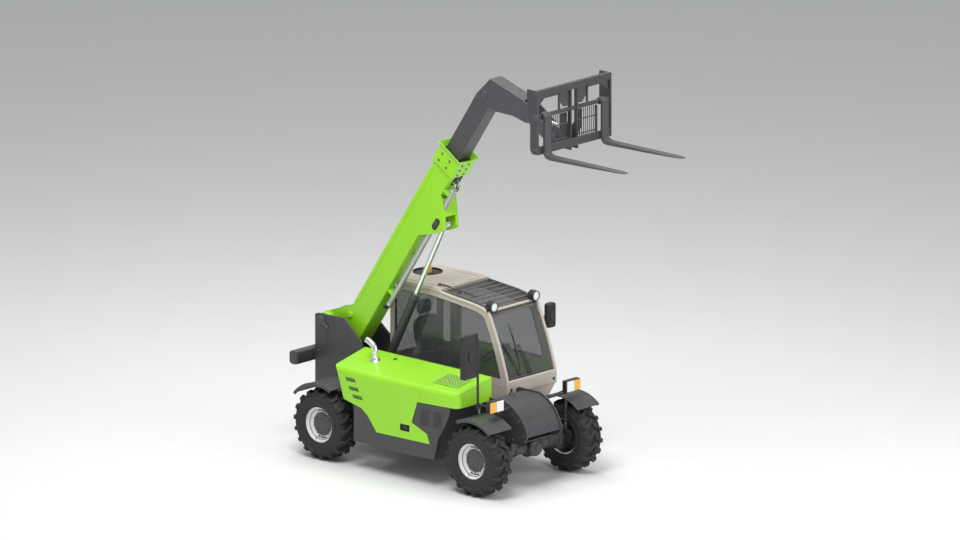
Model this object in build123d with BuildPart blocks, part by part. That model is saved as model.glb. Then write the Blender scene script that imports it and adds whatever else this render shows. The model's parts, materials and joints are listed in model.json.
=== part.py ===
from build123d import *
from math import cos, radians, sin
import os

os.makedirs("parts", exist_ok=True)

# ---------------------------------------------------------------- driving sizes, mm
# X forward, Y to the machine's left, Z up; ground is Z = 0.
wheelbase = 2400.0
tail = 735.0                        # from the rear axle back to the rear lamps
frame_front = 3240.0                # from the rear axle to the fork frame's front face
blade_out = 1260.0                  # reach of a fork blade in front of the fork frame
rear_x = (tail - frame_front - blade_out) / 2   # rear axle line; the whole length is centred on X = 0
front_x = rear_x + wheelbase        # front axle line
track_y = 770.0                     # middle of a tyre from the centre plane
king_y = 600.0                      # steering axis from the centre plane
king_r = 20.0
spindle_r = 40.0

tyre_r = 420.0                      # out to the lugs' tips
tyre_w = 300.0
rim_r = 223.0                       # rim flange
rim_w = 248.0
axle_z = tyre_r

running = 0.3                       # radial clearance of a pin in its bore
nose_half = 300.0                   # outer face of a nose plate from the boom plane
nose_t = 20.0
lug_t = 25.0
rail_z = 620.0                      # top of the rails, which carry the cab floor
bay_front = wheelbase - 570.0       # front end of skirt, engine and tanks, behind the front tyres
lift_pin_r = 25.0
sheet = 12.0                        # frame plate
skin = 15.0                         # hood and skirt panels

boom_y = -70.0                      # plane of the boom, between cab and hood
boom_deg = 56.5                     # boom angle above horizontal, as shown
pivot_x = rear_x - 495.0
pivot_z = 1475.0
tower_half = 250.0                  # outer face of a tower plate from the boom plane
tower_t = 25.0

boom_half = 120.0                   # outer boom half width
boom_top = -190.0                   # outer boom top below the pivot line
boom_low = -490.0
boom_end = 2950.0                   # mouth of the outer boom from the pivot
inner_half = 95.0
pad_gap = 0.5                       # between a slide pad and the boom that slides on it
inner_top = -225.0
inner_low = -455.0

tilt_x = rear_x + 3000.0            # fork frame pivot
tilt_z = 4170.0
lift_base_x = rear_x + 100.0        # lift cylinder's lower pin
lift_base_z = 660.0
lift_eye_x = rear_x + 1227.0
lift_eye_z = 2874.0
lift_lug_in = 62.5                  # inner face of the lift cylinder's lug from the boom plane
tilt_base_x = rear_x + 2199.0       # tilt cylinder's pin in the nose
tilt_base_z = 4462.0
tilt_eye_x = rear_x + 3128.0
tilt_eye_z = 4325.0

outer_y = 920.0                     # body side from the centre plane
fender_out = 930.0
fender_in = 560.0
fender_r = 490.0
fender_t = 8.0

cab_y0 = 75.0                       # cab's right face
cab_y1 = 905.0                      # cab's left face
wall = 40.0

pivot_r = 30.0
hitch_r = 16.0

base = (Align.CENTER, Align.CENTER, Align.MIN)
boom_plane = Plane(origin=(pivot_x, boom_y, pivot_z),
                   x_dir=(cos(radians(boom_deg)), 0, sin(radians(boom_deg))),
                   z_dir=(0, -1, 0))


# ---------------------------------------------------------------- shape helpers
def slab(points, y_lo, y_hi, mode=Mode.ADD):
    """A side profile in X (from the rear axle) and Z, between two Y values."""
    with BuildSketch(Plane.XZ.offset(-y_hi)) as profile:
        with BuildLine():
            Polyline(*[(rear_x + x, z) for x, z in points], close=True)
        make_face()
    extrude(profile.sketch, amount=y_hi - y_lo, dir=(0, -1, 0), mode=mode)


def boom_slab(points, y_lo, y_hi, mode=Mode.ADD):
    """A side profile along and across the boom, Y counted from the boom plane."""
    with BuildSketch(boom_plane.offset(-y_hi)) as profile:
        with BuildLine():
            Polyline(*points, close=True)
        make_face()
    extrude(profile.sketch, amount=y_hi - y_lo, dir=(0, -1, 0), mode=mode)


def boom_block(u0, u1, v0, v1, y_lo, y_hi, mode=Mode.ADD):
    boom_slab([(u0, v0), (u1, v0), (u1, v1), (u0, v1)], y_lo, y_hi, mode)


def block(x0, x1, y0, y1, z0, z1, mode=Mode.ADD):
    """A box by its bounds, X from the rear axle."""
    with Locations((rear_x + (x0 + x1) / 2, (y0 + y1) / 2, (z0 + z1) / 2)):
        Box(x1 - x0, y1 - y0, z1 - z0, mode=mode)


def pin_y(x, z, r, y0, y1, mode=Mode.ADD):
    """A round bar along Y, x absolute."""
    with Locations(Location((x, (y0 + y1) / 2, z), (90, 0, 0))):
        Cylinder(r, y1 - y0, mode=mode)


def pin_z(x, y, r, z0, z1, mode=Mode.ADD):
    with Locations((x, y, (z0 + z1) / 2)):
        Cylinder(r, z1 - z0, mode=mode)


def bar(start, end, r, mode=Mode.ADD):
    """A round bar between two points."""
    a = Vector(*start)
    b = Vector(*end)
    with Locations(Plane(origin=a, z_dir=b - a)):
        Cylinder(r, (b - a).length, align=base, mode=mode)


def arc_points(x, z, r, start, end, steps):
    """Points on an arc about (x, z), angles in degrees above the horizontal."""
    turns = [radians(start + (end - start) * k / steps) for k in range(steps + 1)]
    return [(x + r * cos(t), z + r * sin(t)) for t in turns]


def boom_point(u, v):
    p = boom_plane.from_local_coords(Vector(u, v, 0))
    return p.X, p.Z


def save(name, builder):
    builder.part.label = name
    export_step(builder.part, f"parts/{name}.step")


# ---------------------------------------------------------------- chassis frame
nose_x = wheelbase - 117.0          # centre of the nose's rounded front, from the rear axle
nose_z = 545.0
nose_r = 512.0
nose_back = nose_x - 233.0          # rear end of the nose plates
tower_points = [(-600, 560), (-600, 1530), (-560, 1545), (-150, 1555), (10, 1415), (130, 1320),
                (170, 1200), (170, rail_z), (nose_back, rail_z), (nose_back, 350), (480, 350), (480, 560)]
nose_points = [(nose_back, 560), (nose_back, 900), (nose_back + 30, 940), (nose_back + 30, 1018),
               (nose_back + 50, 1030),
               *arc_points(nose_x, nose_z, nose_r, 73, 13, 7), (nose_x + 457, 600), (nose_x + 357, 560)]
plate_in = tower_half - tower_t

with BuildPart() as chassis_frame:
    for side in (-1, 1):
        y0 = boom_y + side * (tower_half - tower_t / 2) - tower_t / 2
        slab(tower_points, y0, y0 + tower_t)
        y0 = boom_y + side * (nose_half - nose_t / 2) - nose_t / 2
        slab(nose_points, y0, y0 + nose_t)
        pin_y(pivot_x, pivot_z, 62, boom_y + side * (tower_half + 4) - 4,
              boom_y + side * (tower_half + 4) + 4)
        y0 = boom_y + min(side * lift_lug_in, side * (lift_lug_in + lug_t))
        slab([(-30, 565), (150, 565), (145, 680), (100, 702), (55, 680)], y0, y0 + lug_t)
    block(480, nose_back, boom_y - tower_half, boom_y + tower_half, 350, 350 + sheet)
    block(-600, 480, boom_y - tower_half, boom_y + tower_half, 560, 560 + sheet)
    block(480, 480 + sheet, boom_y - tower_half, boom_y + tower_half, 350, 560 + sheet)
    block(nose_back, nose_back + sheet, boom_y - nose_half, boom_y + nose_half, 350, 700)
    block(nose_back, nose_back + 590, boom_y - nose_half, boom_y + nose_half, 560, 560 + sheet)
    block(-600, -580, boom_y - plate_in, boom_y + plate_in, 560, 1250)
    pin_y(pivot_x, pivot_z, pivot_r, boom_y - tower_half, boom_y + tower_half)
    pin_y(lift_base_x, lift_base_z, lift_pin_r, boom_y - lift_lug_in - lug_t, boom_y + lift_lug_in + lug_t)
    for z in (600, 700):
        block(-720, -590, -80, 80, z, z + 20)
    pin_z(rear_x - 680, 0, hitch_r, 590, 730, Mode.SUBTRACT)
save("chassis_frame", chassis_frame)

# ---------------------------------------------------------------- cover between the front wheels
with BuildPart() as nose_cover:
    slab([(nose_x - 83, 1018), *arc_points(nose_x, nose_z, nose_r - 15, 73, 13, 7),
          *arc_points(nose_x, nose_z, nose_r - 27, 13, 73, 7), (nose_x - 83, 1006)],
         boom_y - nose_half + nose_t, boom_y + nose_half - nose_t)
save("nose_cover", nose_cover)

# ---------------------------------------------------------------- rear lamp bar
with BuildPart() as rear_lamp_bar:
    block(-722, -600, -630, 630, 970, 1130)
save("rear_lamp_bar", rear_lamp_bar)

with BuildPart() as red_lenses:
    for side in (-1, 1):
        block(-tail, -722, side * 520 - 90, side * 520 + 90, 1000, 1100)
save("red_lenses", red_lenses)

# ---------------------------------------------------------------- axles
def axle(x):
    """Beam with its bulge and, at each end, a yoke for the king pin."""
    for side in (-1, 1):
        block(x - rear_x - 55, x - rear_x + 55, side * 525 - 20, side * 525 + 20, axle_z - 118, axle_z + 118)
        for ear in (-1, 1):
            z = axle_z + ear * 103
            pin_z(x, side * king_y, 50, z - 15, z + 15)
            block(x - rear_x - 50, x - rear_x + 50, min(side * 530, side * king_y),
                  max(side * 530, side * king_y), z - 15, z + 15)
        pad_y = boom_y + side * 190
        block(x - rear_x - 80, x - rear_x + 80, pad_y - 50, pad_y + 50, axle_z + 20, 560)
    pin_y(x, axle_z, 75, -530, 530)
    pin_y(x, axle_z, 125, 20, 150)
    for side in (-1, 1):
        pin_z(x, side * king_y, king_r + running, axle_z - 130, axle_z + 130, Mode.SUBTRACT)


with BuildPart() as front_axle:
    axle(front_x)
save("front_axle", front_axle)

with BuildPart() as rear_axle:
    axle(rear_x)
save("rear_axle", rear_axle)


# ---------------------------------------------------------------- knuckles with their fenders
def knuckle(x, side, a0, a1, strut):
    """King pin, hub stub and spindle, and the fender that the knuckle carries over its tyre."""
    y = side * king_y
    pin_z(x, y, king_r, axle_z - 118, 575)
    pin_z(x, y, 48, axle_z - 82, axle_z + 82)
    pin_y(x, axle_z, 58, min(y, side * 700), max(y, side * 700))
    pin_y(x, axle_z, spindle_r, min(y, side * 760), max(y, side * 760))
    pin_z(x, y, 36, 548, 575)
    foot = x - rear_x + strut * 105
    block(min(x - rear_x, foot), max(x - rear_x, foot), min(side * 570, side * 605),
          max(side * 570, side * 605), 548, 575)
    block(foot - 10, foot + 10, min(side * 570, side * 600), max(side * 570, side * 600), 548, 902)
    y0 = min(side * fender_in, side * fender_out)
    inner = arc_points(x - rear_x, axle_z, fender_r, a0, a1, 8)
    outer = arc_points(x - rear_x, axle_z, fender_r + fender_t, a0, a1, 8)
    slab(inner + outer[::-1], y0, y0 + fender_out - fender_in)


corner_rows = [
    # name, axle line, side, fender start and end angle above the horizontal, side of the strut
    ("front_right", front_x, -1, 51.0, 115.0, 1),
    ("front_left", front_x, 1, 51.0, 115.0, 1),
    ("rear_right", rear_x, -1, 65.0, 139.0, -1),
    ("rear_left", rear_x, 1, 65.0, 139.0, -1),
]

for corner, x, side, a0, a1, strut in corner_rows:
    with BuildPart() as knuckle_part:
        knuckle(x, side, a0, a1, strut)
    save("knuckle_" + corner, knuckle_part)


# ---------------------------------------------------------------- tyres and rims
half_w = tyre_w / 2
bead_r = 209.0                      # seat of the tyre on the rim
wheel_sides = 16                    # flats that stand for a round, one of them on the ground
lug_count = 12                      # lugs on each half of the tread
lug_depth = 34.0
lug_skew = 33.0                     # degrees that a lug leans from straight across
shoulder = 34.0                     # width of the slope from tread to side wall
rim_seat = 0.4                      # gap between rim and tyre


def flats(r, start, depth, narrower=0, mode=Mode.ADD):
    """A many-sided ring round the wheel's axle, from an offset outwards or, if negative, inwards."""
    rings = []
    for y, flat_r in ((start, r), (start + depth, r - narrower)):
        corner_r = flat_r / cos(radians(180 / wheel_sides))
        turns = [radians(360 / wheel_sides * (k + 0.5)) for k in range(wheel_sides)]
        rings.append([(corner_r * cos(t), y, corner_r * sin(t)) for t in turns])
    near, far = rings
    sides = [[near[k - 1], near[k], far[k], far[k - 1]] for k in range(wheel_sides)]
    faces_round = [Face(Wire.make_polygon(points)) for points in (near, far, *sides)]
    add(Solid(Shell(faces_round)), mode=mode)


with BuildPart() as tread_envelope:
    for out in (-1, 1):
        flats(tyre_r, 0, out * (half_w - shoulder))
        flats(tyre_r, out * (half_w - shoulder), out * shoulder, 50)

with BuildPart() as tread_lugs:
    for out in (-1, 1):
        for k in range(lug_count):
            turn = 360 / lug_count * (k + 0.25 * out)
            across = Location((0, out * (half_w / 2 + 8), tyre_r - lug_depth), (0, 0, -out * lug_skew))
            with Locations(Location((0, 0, 0), (0, turn, 0)) * across):
                Box(50, half_w + 60, 2 * lug_depth + 30)
    add(tread_envelope.part, mode=Mode.INTERSECT)

with BuildPart() as tyre_master:
    carcass_r = tyre_r - lug_depth
    for out in (-1, 1):
        flats(carcass_r, 0, out * (half_w - shoulder))
        flats(carcass_r, out * (half_w - shoulder), out * shoulder, 42)
    add(tread_lugs.part)
    for out in (-1, 1):
        flats(bead_r + rim_seat, 0, out * (half_w + 1), 0, Mode.SUBTRACT)
        flats(rim_r + rim_seat, out * (rim_w / 2 - 12 - rim_seat), out * 30, -11, Mode.SUBTRACT)
        flats(262, out * (half_w - 8), out * 9, -15.5, Mode.SUBTRACT)

with BuildPart() as rim_master:
    for out in (-1, 1):
        flats(bead_r, 0, out * rim_w / 2)
        flats(rim_r, out * (rim_w / 2 - 12), out * 12)
    flats(198, rim_w / 2 - 70, 71, -5, Mode.SUBTRACT)
    flats(198, 26, -(rim_w / 2 + 27), 0, Mode.SUBTRACT)
    with BuildSketch(Plane(origin=(0, 26, 0), x_dir=(1, 0, 0), z_dir=(0, 1, 0))) as hub:
        RegularPolygon(100, wheel_sides, major_radius=False)
    extrude(hub.sketch, amount=74, taper=12)
    pin_y(0, 0, 75, -66, 30)
    pin_y(0, 0, spindle_r + running, -67, 24, Mode.SUBTRACT)

for corner, x, side, a0, a1, strut in corner_rows:
    for name, master in (("tyre_", tyre_master), ("rim_", rim_master)):
        with BuildPart() as wheel_part:
            with Locations((x, side * track_y, axle_z)):
                add(master.part if side > 0 else mirror(master.part, about=Plane.XZ, mode=Mode.PRIVATE))
        save(name + corner, wheel_part)

# ---------------------------------------------------------------- engine bay, right side
bay_in = boom_y - tower_half - sheet  # inner wall, against the frame's rail
hood_hinge_y = bay_in - 2.0
hood_hinge_z = 1255.0
hood_hinge_xs = (640, 1640)          # back end of each hinge, from the rear axle
hinge_r = 6.0
louvre_pitch = 22.0
bay_points = [(573, 340), (bay_front, 340), (bay_front + 70, 600), (bay_front + 190, 800),
              (bay_front + 250, 930), (bay_front + 250, 996), (bay_front - 250, 972),
              (bay_front - 338, 725), (bay_front - 100, 636), (bay_front - 58, 507),
              (928, 497), (788, 669), (688, 741), (573, 768)]
with BuildPart() as engine_bay:
    slab(bay_points, -outer_y, -outer_y + skin)
    for column in (-190, 10):
        for k in range(9):
            z = 905 - louvre_pitch * k
            x = bay_front + column - 0.16 * (905 - z)
            block(x, x + 130, -outer_y - 1, -outer_y + skin + 1, z, z + louvre_pitch / 2, Mode.SUBTRACT)
    block(573, bay_front, -outer_y + 5, bay_in + 12, 340, 352)
    block(573, 585, -outer_y + 5, bay_in + 12, 340, 768)
    slab([(bay_front, 340), (bay_front + 20, 600), (bay_front + 130, 800), (bay_front + 150, 960),
          (bay_front + 138, 960), (bay_front + 118, 803), (bay_front + 8, 604), (bay_front - 12, 340)],
         -outer_y + 5, bay_in + 12)
    block(573, bay_front + 138, bay_in, bay_in + 12, 340, 1235)
    for x in hood_hinge_xs:
        block(x, x + 30, hood_hinge_y - 10, bay_in + 12, 1222, hood_hinge_z + 7)
        block(x + 61, x + 91, hood_hinge_y - 10, bay_in + 12, 1222, hood_hinge_z + 7)
        bar((rear_x + x, hood_hinge_y, hood_hinge_z), (rear_x + x + 91, hood_hinge_y, hood_hinge_z), hinge_r)
save("engine_bay", engine_bay)

with BuildPart() as engine_block:
    block(640, bay_front - 270, -800, -400, 352, 1120)
    block(bay_front - 230, bay_front - 50, -860, -400, 352, 1120)
save("engine_block", engine_block)

# ---------------------------------------------------------------- engine hood, a lid hinged inboard
hood_in = hood_hinge_y - 11.0
hood_top_out = 1178.0
hood_top_in = 1284.0
hood_slope = (hood_top_in - hood_top_out) / (hood_in + outer_y)
hood_front = wheelbase - 195.0
hood_round = 70.0                   # radius of the shoulder and of the corners
hood_points = [(181, 1400), (hood_front, 1400), (hood_front, 1008), (bay_front - 257, 981),
               (bay_front - 348, 723), (bay_front - 108, 630), (bay_front - 68, 515), (932, 505),
               (793, 677), (692, 749), (415, 812), (343, 890)]
core_points = [(197, 1400), (hood_front - skin, 1400), (hood_front - skin, 400), (440, 400), (428, 820),
               (358, 896)]


def over_slope(drop, y0, y1):
    """Cut away everything above the sloping top, lowered by drop."""
    with BuildSketch(Plane.YZ.offset(rear_x - 200)) as wedge:
        with BuildLine():
            Polyline((y0, hood_top_out - drop + hood_slope * (y0 + outer_y)),
                     (y1, hood_top_out - drop + hood_slope * (y1 + outer_y)), (y1, 1700), (y0, 1700),
                     close=True)
        make_face()
    extrude(wedge.sketch, amount=2800, dir=(1, 0, 0), mode=Mode.SUBTRACT)


def hood_block(points, inset, y_in):
    """The hood's outside, or its hollow if inset, with a rounded shoulder, rear and front corner."""
    slab(points, -outer_y + inset, y_in)
    over_slope(inset, -outer_y - 50, y_in + 50)
    side_edges = [e for e in edges() if abs(e.center().Y + outer_y - inset) < 0.1]
    top = [e for e in side_edges if e.center().Z > 1100 and e.bounding_box().size.Z < 1]
    front = [e for e in side_edges if e.center().X > rear_x + hood_front - skin - 1]
    rear = [e for e in side_edges if e.center().X < rear_x + 300 and e.bounding_box().size.Z > 100]
    fillet(top + front + rear, hood_round - inset)


with BuildPart() as hood_core:
    hood_block(core_points, skin, hood_in + 50)

mesh_x = 1880.0                     # middle of the mesh panel on the hood's top
mesh_y = -640.0
latch_x = 1300.0
with BuildPart() as hood:
    hood_block(hood_points, 0, hood_in)
    add(hood_core.part, mode=Mode.SUBTRACT)
    for group_x, group_z in ((440, 1075), (490, 975), (550, 885)):
        for k in range(4):
            x = group_x + 38 * k
            slab([(x, group_z), (x + 22, group_z - 34), (x + 34, group_z - 34), (x + 12, group_z)],
                 -outer_y - 1, -outer_y + skin + 1, Mode.SUBTRACT)
    block(latch_x, latch_x + 150, -outer_y - 1, -outer_y + skin + 1, 600, 680, Mode.SUBTRACT)
    block(mesh_x - 160, mesh_x + 160, mesh_y - 110, mesh_y + 110, 1150, 1350, Mode.SUBTRACT)
    block(2000, hood_front + 100, boom_y - nose_half - 15, hood_in + 50, 900, 1052, Mode.SUBTRACT)
    for x in hood_hinge_xs:
        block(x + 31, x + 60, hood_hinge_y - 24, hood_hinge_y + 8, hood_hinge_z - 9, hood_hinge_z + 9)
        block(x + 31, x + 60, hood_hinge_y - 24, hood_in, hood_hinge_z - 9, hood_hinge_z + 18)
        bar((rear_x + x, hood_hinge_y, hood_hinge_z), (rear_x + x + 91, hood_hinge_y, hood_hinge_z),
            hinge_r + running, Mode.SUBTRACT)
save("hood", hood)

slope_n = Vector(0, -hood_slope, 1).normalized()


def on_hood(x, y):
    return (rear_x + x, y, hood_top_out + hood_slope * (y + outer_y))


with BuildPart() as exhaust:
    foot = on_hood(614, -600)
    with Locations(Plane(origin=foot, z_dir=slope_n, x_dir=(1, 0, 0))):
        Cylinder(62, 10, align=base)
        Cone(48, 34, 40, align=base)
    with BuildLine(Plane(origin=foot, x_dir=(-1, 0, 0), z_dir=(0, 1, 0))) as route:
        stack = Line((0, 20), (0, 110))
        bend = JernArc(stack @ 1, stack % 1, 70, -58)
        Line(bend @ 1, bend @ 1 + (bend % 1) * 75)
    with BuildSketch(Plane(origin=(foot[0], foot[1], foot[2] + 20), z_dir=(0, 0, 1))):
        RegularPolygon(32, 10)
    sweep(path=route.wire())
save("exhaust", exhaust)

with BuildPart() as hood_grille:
    with Locations(Plane(origin=on_hood(mesh_x, mesh_y), z_dir=slope_n, x_dir=(1, 0, 0))):
        Box(380, 270, 4, align=base)
        with GridLocations(40, 34, 8, 6):
            Box(26, 20, 12, mode=Mode.SUBTRACT)
save("hood_grille", hood_grille)

with BuildPart() as hood_latch:
    block(latch_x - 10, latch_x + 160, -outer_y + skin, -outer_y + skin + 6, 590, 690)
    block(latch_x + 40, latch_x + 110, -outer_y + 3, -outer_y + skin + 1, 620, 660)
save("hood_latch", hood_latch)

# ---------------------------------------------------------------- tank and steps, left side
with BuildPart() as left_tank:
    block(573, bay_front, boom_y + tower_half, outer_y, 340, 600)
    block(1180, bay_front - 190, outer_y - 210, outer_y + 1, 365, 470, Mode.SUBTRACT)
    block(1180, bay_front - 190, outer_y - 160, outer_y + 1, 490, 601, Mode.SUBTRACT)
save("left_tank", left_tank)

# ---------------------------------------------------------------- cab
screen_line = [(1770, 1865), (1848, 1700), (1930, 1500), (1998, 1300), (2050, 1120)]
roof_line = [(1250, 1970), (1500, 1946), (1660, 1920)]
cab_outline = [(220, 960), (220, 1990), (860, 2000), *roof_line, *screen_line,
               (2050, 950), (1860, 620), (610, 620), (470, 960)]
right_window = [(290, 1130), (290, 1915), (860, 1935), (1240, 1905), (1575, 1865), (1655, 1842), (1700, 1810),
                (1780, 1650), (1853, 1460), (1912, 1290), (1958, 1130)]
door_hole = [(502, 1928), (502, 998), (650, 657), (1845, 657), (2008, 957), (2008, 1117), (1751, 1821),
             (1604, 1888), (1250, 1928), (860, 1953)]
quarter_window = [(290, 1130), (290, 1915), (430, 1920), (430, 1130)]

door_hinge_y = cab_y1 + 8.0
door_hinge_zs = (1040, 1500)         # foot of each door hinge


def door_lug(z):
    """The door's half of a hinge, standing off its outer face."""
    block(512, 560, door_y1 - 1, cab_y1 + 3, z + 26, z + 54)
    block(499, 560, cab_y1 + 2, cab_y1 + 15, z + 26, z + 54)
    pin_z(rear_x + 505, door_hinge_y, hinge_r + running, z, z + 60, Mode.SUBTRACT)


with BuildPart() as cab_frame:
    slab(cab_outline, cab_y0, cab_y0 + wall)
    slab(cab_outline, cab_y1 - wall, cab_y1)
    slab(right_window, cab_y0 - 1, cab_y0 + wall + 1, Mode.SUBTRACT)
    slab(door_hole, cab_y1 - wall - 1, cab_y1 + 1, Mode.SUBTRACT)
    slab(quarter_window, cab_y1 - wall - 1, cab_y1 + 1, Mode.SUBTRACT)
    block(220, 260, cab_y0 + 10, cab_y1 - 10, 960, 1130)
    slab([(220, 960), (220, 975), (480, 975), (624, 625), (610, 620), (470, 960)], cab_y0 + 10, cab_y1 - 10)
    block(220, 280, cab_y0 + 10, cab_y1 - 10, 1918, 1980)
    block(960, 1010, cab_y0 + 10, cab_y1 - 10, 1940, 1980)
    slab([(1690, 1845), (1690, 1890), (1768, 1860), (1780, 1828)], cab_y0 + 10, cab_y1 - wall)
    slab([(1975, 1060), (1975, 1110), (2046, 1115), (2046, 1060)], cab_y0 + 10, cab_y1 - wall)
    slab([(1880, 655), (2050, 950), (2050, 1062), (2036, 1062), (2036, 953), (1866, 660)],
         cab_y0 + 10, cab_y1 - wall)
    for z in door_hinge_zs:
        block(460, 505, cab_y1, cab_y1 + 15, z, z + 25)
        pin_z(rear_x + 505, door_hinge_y, hinge_r, z, z + 56)
save("cab_frame", cab_frame)

with BuildPart() as cab_floor:
    slab([(625, 620), (625, 650), (1860, 650), (1860, 620)], cab_y0 + wall, cab_y1 - wall)
save("cab_floor", cab_floor)

with BuildPart() as cab_front_panel:
    with BuildSketch(Plane.YZ.offset(rear_x + 2050)):
        with Locations(((cab_y0 + cab_y1) / 2, 1035)):
            RectangleRounded(cab_y1 - cab_y0, 160, 45)
    extrude(amount=25)
    chamfer(faces().sort_by(Axis.X)[-1].edges(), 10)
save("cab_front_panel", cab_front_panel)

roof_dish_z = 2012.0                # floor of the round dish that the beacon stands in
with BuildPart() as cab_roof:
    slab([(100, 1965), (100, 2000), (260, 2025), (860, 2035), (1000, 2024), (1000, 1989.3), (860, 2000),
          (220, 1990), (200, 1965)], cab_y0, cab_y1)
    pin_z(rear_x + 340, 583, 165, roof_dish_z, roof_dish_z + 48, Mode.SUBTRACT)
save("cab_roof", cab_roof)

with BuildPart() as cab_glass:
    slab(screen_line + [(x + 6, z + 2) for x, z in screen_line[::-1]], cab_y0 + 4, cab_y1 - 4)
    slab([(1004, 1989), *roof_line, (1718, 1891), (1718, 1898), (1662, 1927), (1501, 1953), (1250, 1977),
          (1004, 1996)], cab_y0 + 4, cab_y1 - 4)
    slab(right_window, cab_y0 + 16, cab_y0 + 22)
    slab(quarter_window, cab_y1 - 22, cab_y1 - 16)
    block(235, 241, cab_y0 + wall, cab_y1 - wall, 1130, 1918)
save("cab_glass", cab_glass)

with BuildPart() as roof_guard:
    for y in (cab_y0 + 45, cab_y1 - 45):
        slab([(1030, 1994), (1250, 1977), (1501, 1953), (1662, 1927), (1700, 1908),
              (1700, 1936), (1665, 1955),
              (1505, 1980), (1250, 2003), (1030, 2020)], y - 5, y + 5)
    for x, z in [(1050, 2008), (1155, 1999), (1260, 1990), (1365, 1978), (1470, 1967), (1575, 1955),
                 (1675, 1935)]:
        pin_y(rear_x + x, z, 7, cab_y0 + 45, cab_y1 - 45)
save("roof_guard", roof_guard)

with BuildPart() as seat:
    block(440, 760, 330, 650, 980, 985)
    block(640, 760, 330, 650, 650, 985)
    block(420, 860, 270, 710, 985, 1110)
    slab([(430, 1100), (340, 1560), (400, 1560), (520, 1110)], 280, 700)
    slab([(352, 1540), (330, 1720), (390, 1720), (402, 1540)], 380, 600)
save("seat", seat)

with BuildPart() as dash:
    slab([(1700, 650), (1760, 1050), (1960, 1050), (1960, 960), (1850, 770), (1840, 650)], 300, 680)
    bar((rear_x + 1740, 490, 1000), (rear_x + 1500, 490, 1280), 28)
    with Locations(Plane(origin=(rear_x + 1500, 490, 1280), z_dir=(-240, 0, 280))):
        with BuildSketch(Plane(origin=(rear_x + 1500, 490, 1280), z_dir=(-240, 0, 280))) as ring:
            RegularPolygon(192, 20)
            RegularPolygon(164, 20, mode=Mode.SUBTRACT)
        Cylinder(45, 30)
        Box(350, 30, 14)
    extrude(ring.sketch, amount=12, both=True)
save("dash", dash)

# ---------------------------------------------------------------- cab door, left side
door_y0 = cab_y1 - 34
door_y1 = cab_y1 - 4
door_low = [(510, 1180), (510, 1000), (655, 665), (1840, 665), (2000, 960), (2000, 1115), (1976, 1180)]
door_up = [(510, 1180), (510, 1920), (860, 1945), (1250, 1920), (1600, 1880), (1745, 1815), (1976, 1180)]
door_pane = [(565, 1225), (565, 1870), (860, 1890), (1240, 1866), (1575, 1828), (1700, 1775), (1900, 1225)]

with BuildPart() as door_panel:
    slab(door_low, door_y0, door_y1)
    door_lug(door_hinge_zs[0])
save("door_panel", door_panel)

with BuildPart() as door_frame:
    slab(door_up, door_y0, door_y1)
    slab(door_pane, door_y0 - 1, door_y1 + 1, Mode.SUBTRACT)
    door_lug(door_hinge_zs[1])
save("door_frame", door_frame)

with BuildPart() as door_glass:
    slab(door_pane, door_y0 + 12, door_y0 + 18)
save("door_glass", door_glass)

# ---------------------------------------------------------------- lamps and mirrors
pod_x = wheelbase + 100.0
work_lamp_z = 1945.0
with BuildPart() as lamp_housings:
    for side in (-1, 1):
        block(pod_x, pod_x + 60, side * 650 - 115, side * 650 + 115, 985, 1120)
        nose_face = boom_y + side * nose_half
        pin_y(rear_x + pod_x + 15, 973, 14, min(nose_face, side * 600), max(nose_face, side * 600))
    for y in (cab_y0 + 60, cab_y1 - 60):
        slab([(1730, 1881.3), (1760, 1869.1), (1760, 1890), (1730, 1890)], y - 20, y + 20)
        with Locations(Location((rear_x + 1755, y, work_lamp_z), (0, 90, 0))):
            Cylinder(60, 70)
save("lamp_housings", lamp_housings)

with BuildPart() as clear_lenses:
    for side in (-1, 1):
        block(pod_x + 60, pod_x + 75, side * 600 - 58, side * 600 + 58, 992, 1113)
    for y in (cab_y0 + 60, cab_y1 - 60):
        with Locations(Location((rear_x + 1755 + 41, y, work_lamp_z), (0, 90, 0))):
            Cylinder(52, 12)
save("clear_lenses", clear_lenses)

beacon_x = 340.0
beacon_y = 583.0
with BuildPart() as amber_lenses:
    for side in (-1, 1):
        block(pod_x + 60, pod_x + 75, side * 712 - 48, side * 712 + 48, 992, 1113)
    pin_z(rear_x + beacon_x, beacon_y, 50, roof_dish_z, roof_dish_z + 83)
save("amber_lenses", amber_lenses)

pole_y = -790.0


def mirror_head(x0, x1, y0, y1, z0, z1):
    """A rounded shell or pane that faces along X."""
    with BuildSketch(Plane.YZ.offset(rear_x + x0)) as face:
        with Locations(((y0 + y1) / 2, (z0 + z1) / 2)):
            RectangleRounded(y1 - y0, z1 - z0, 30)
    extrude(face.sketch, amount=x1 - x0)


with BuildPart() as mirrors:
    bar((rear_x + pod_x, -745, 1060), (front_x, -745, 1060), 12)
    bar((front_x, -745, 1060), (front_x, pole_y, 1060), 12)
    bar((front_x, pole_y, 1048), (front_x, pole_y, 1850), 14)
    mirror_head(wheelbase - 24, wheelbase + 16, -1060, -800, 1410, 1930)
    block(1826, 1846, cab_y1, 918, 1632, 1652)
    block(1826, 1870, 908, 926, 1632, 1652)
    mirror_head(1858, 1912, 925, 1060, 1560, 1850)
save("mirrors", mirrors)

with BuildPart() as mirror_glass:
    mirror_head(wheelbase - 30, wheelbase - 24, -1052, -808, 1418, 1922)
    mirror_head(1852, 1858, 933, 1052, 1568, 1842)
save("mirror_glass", mirror_glass)

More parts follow.
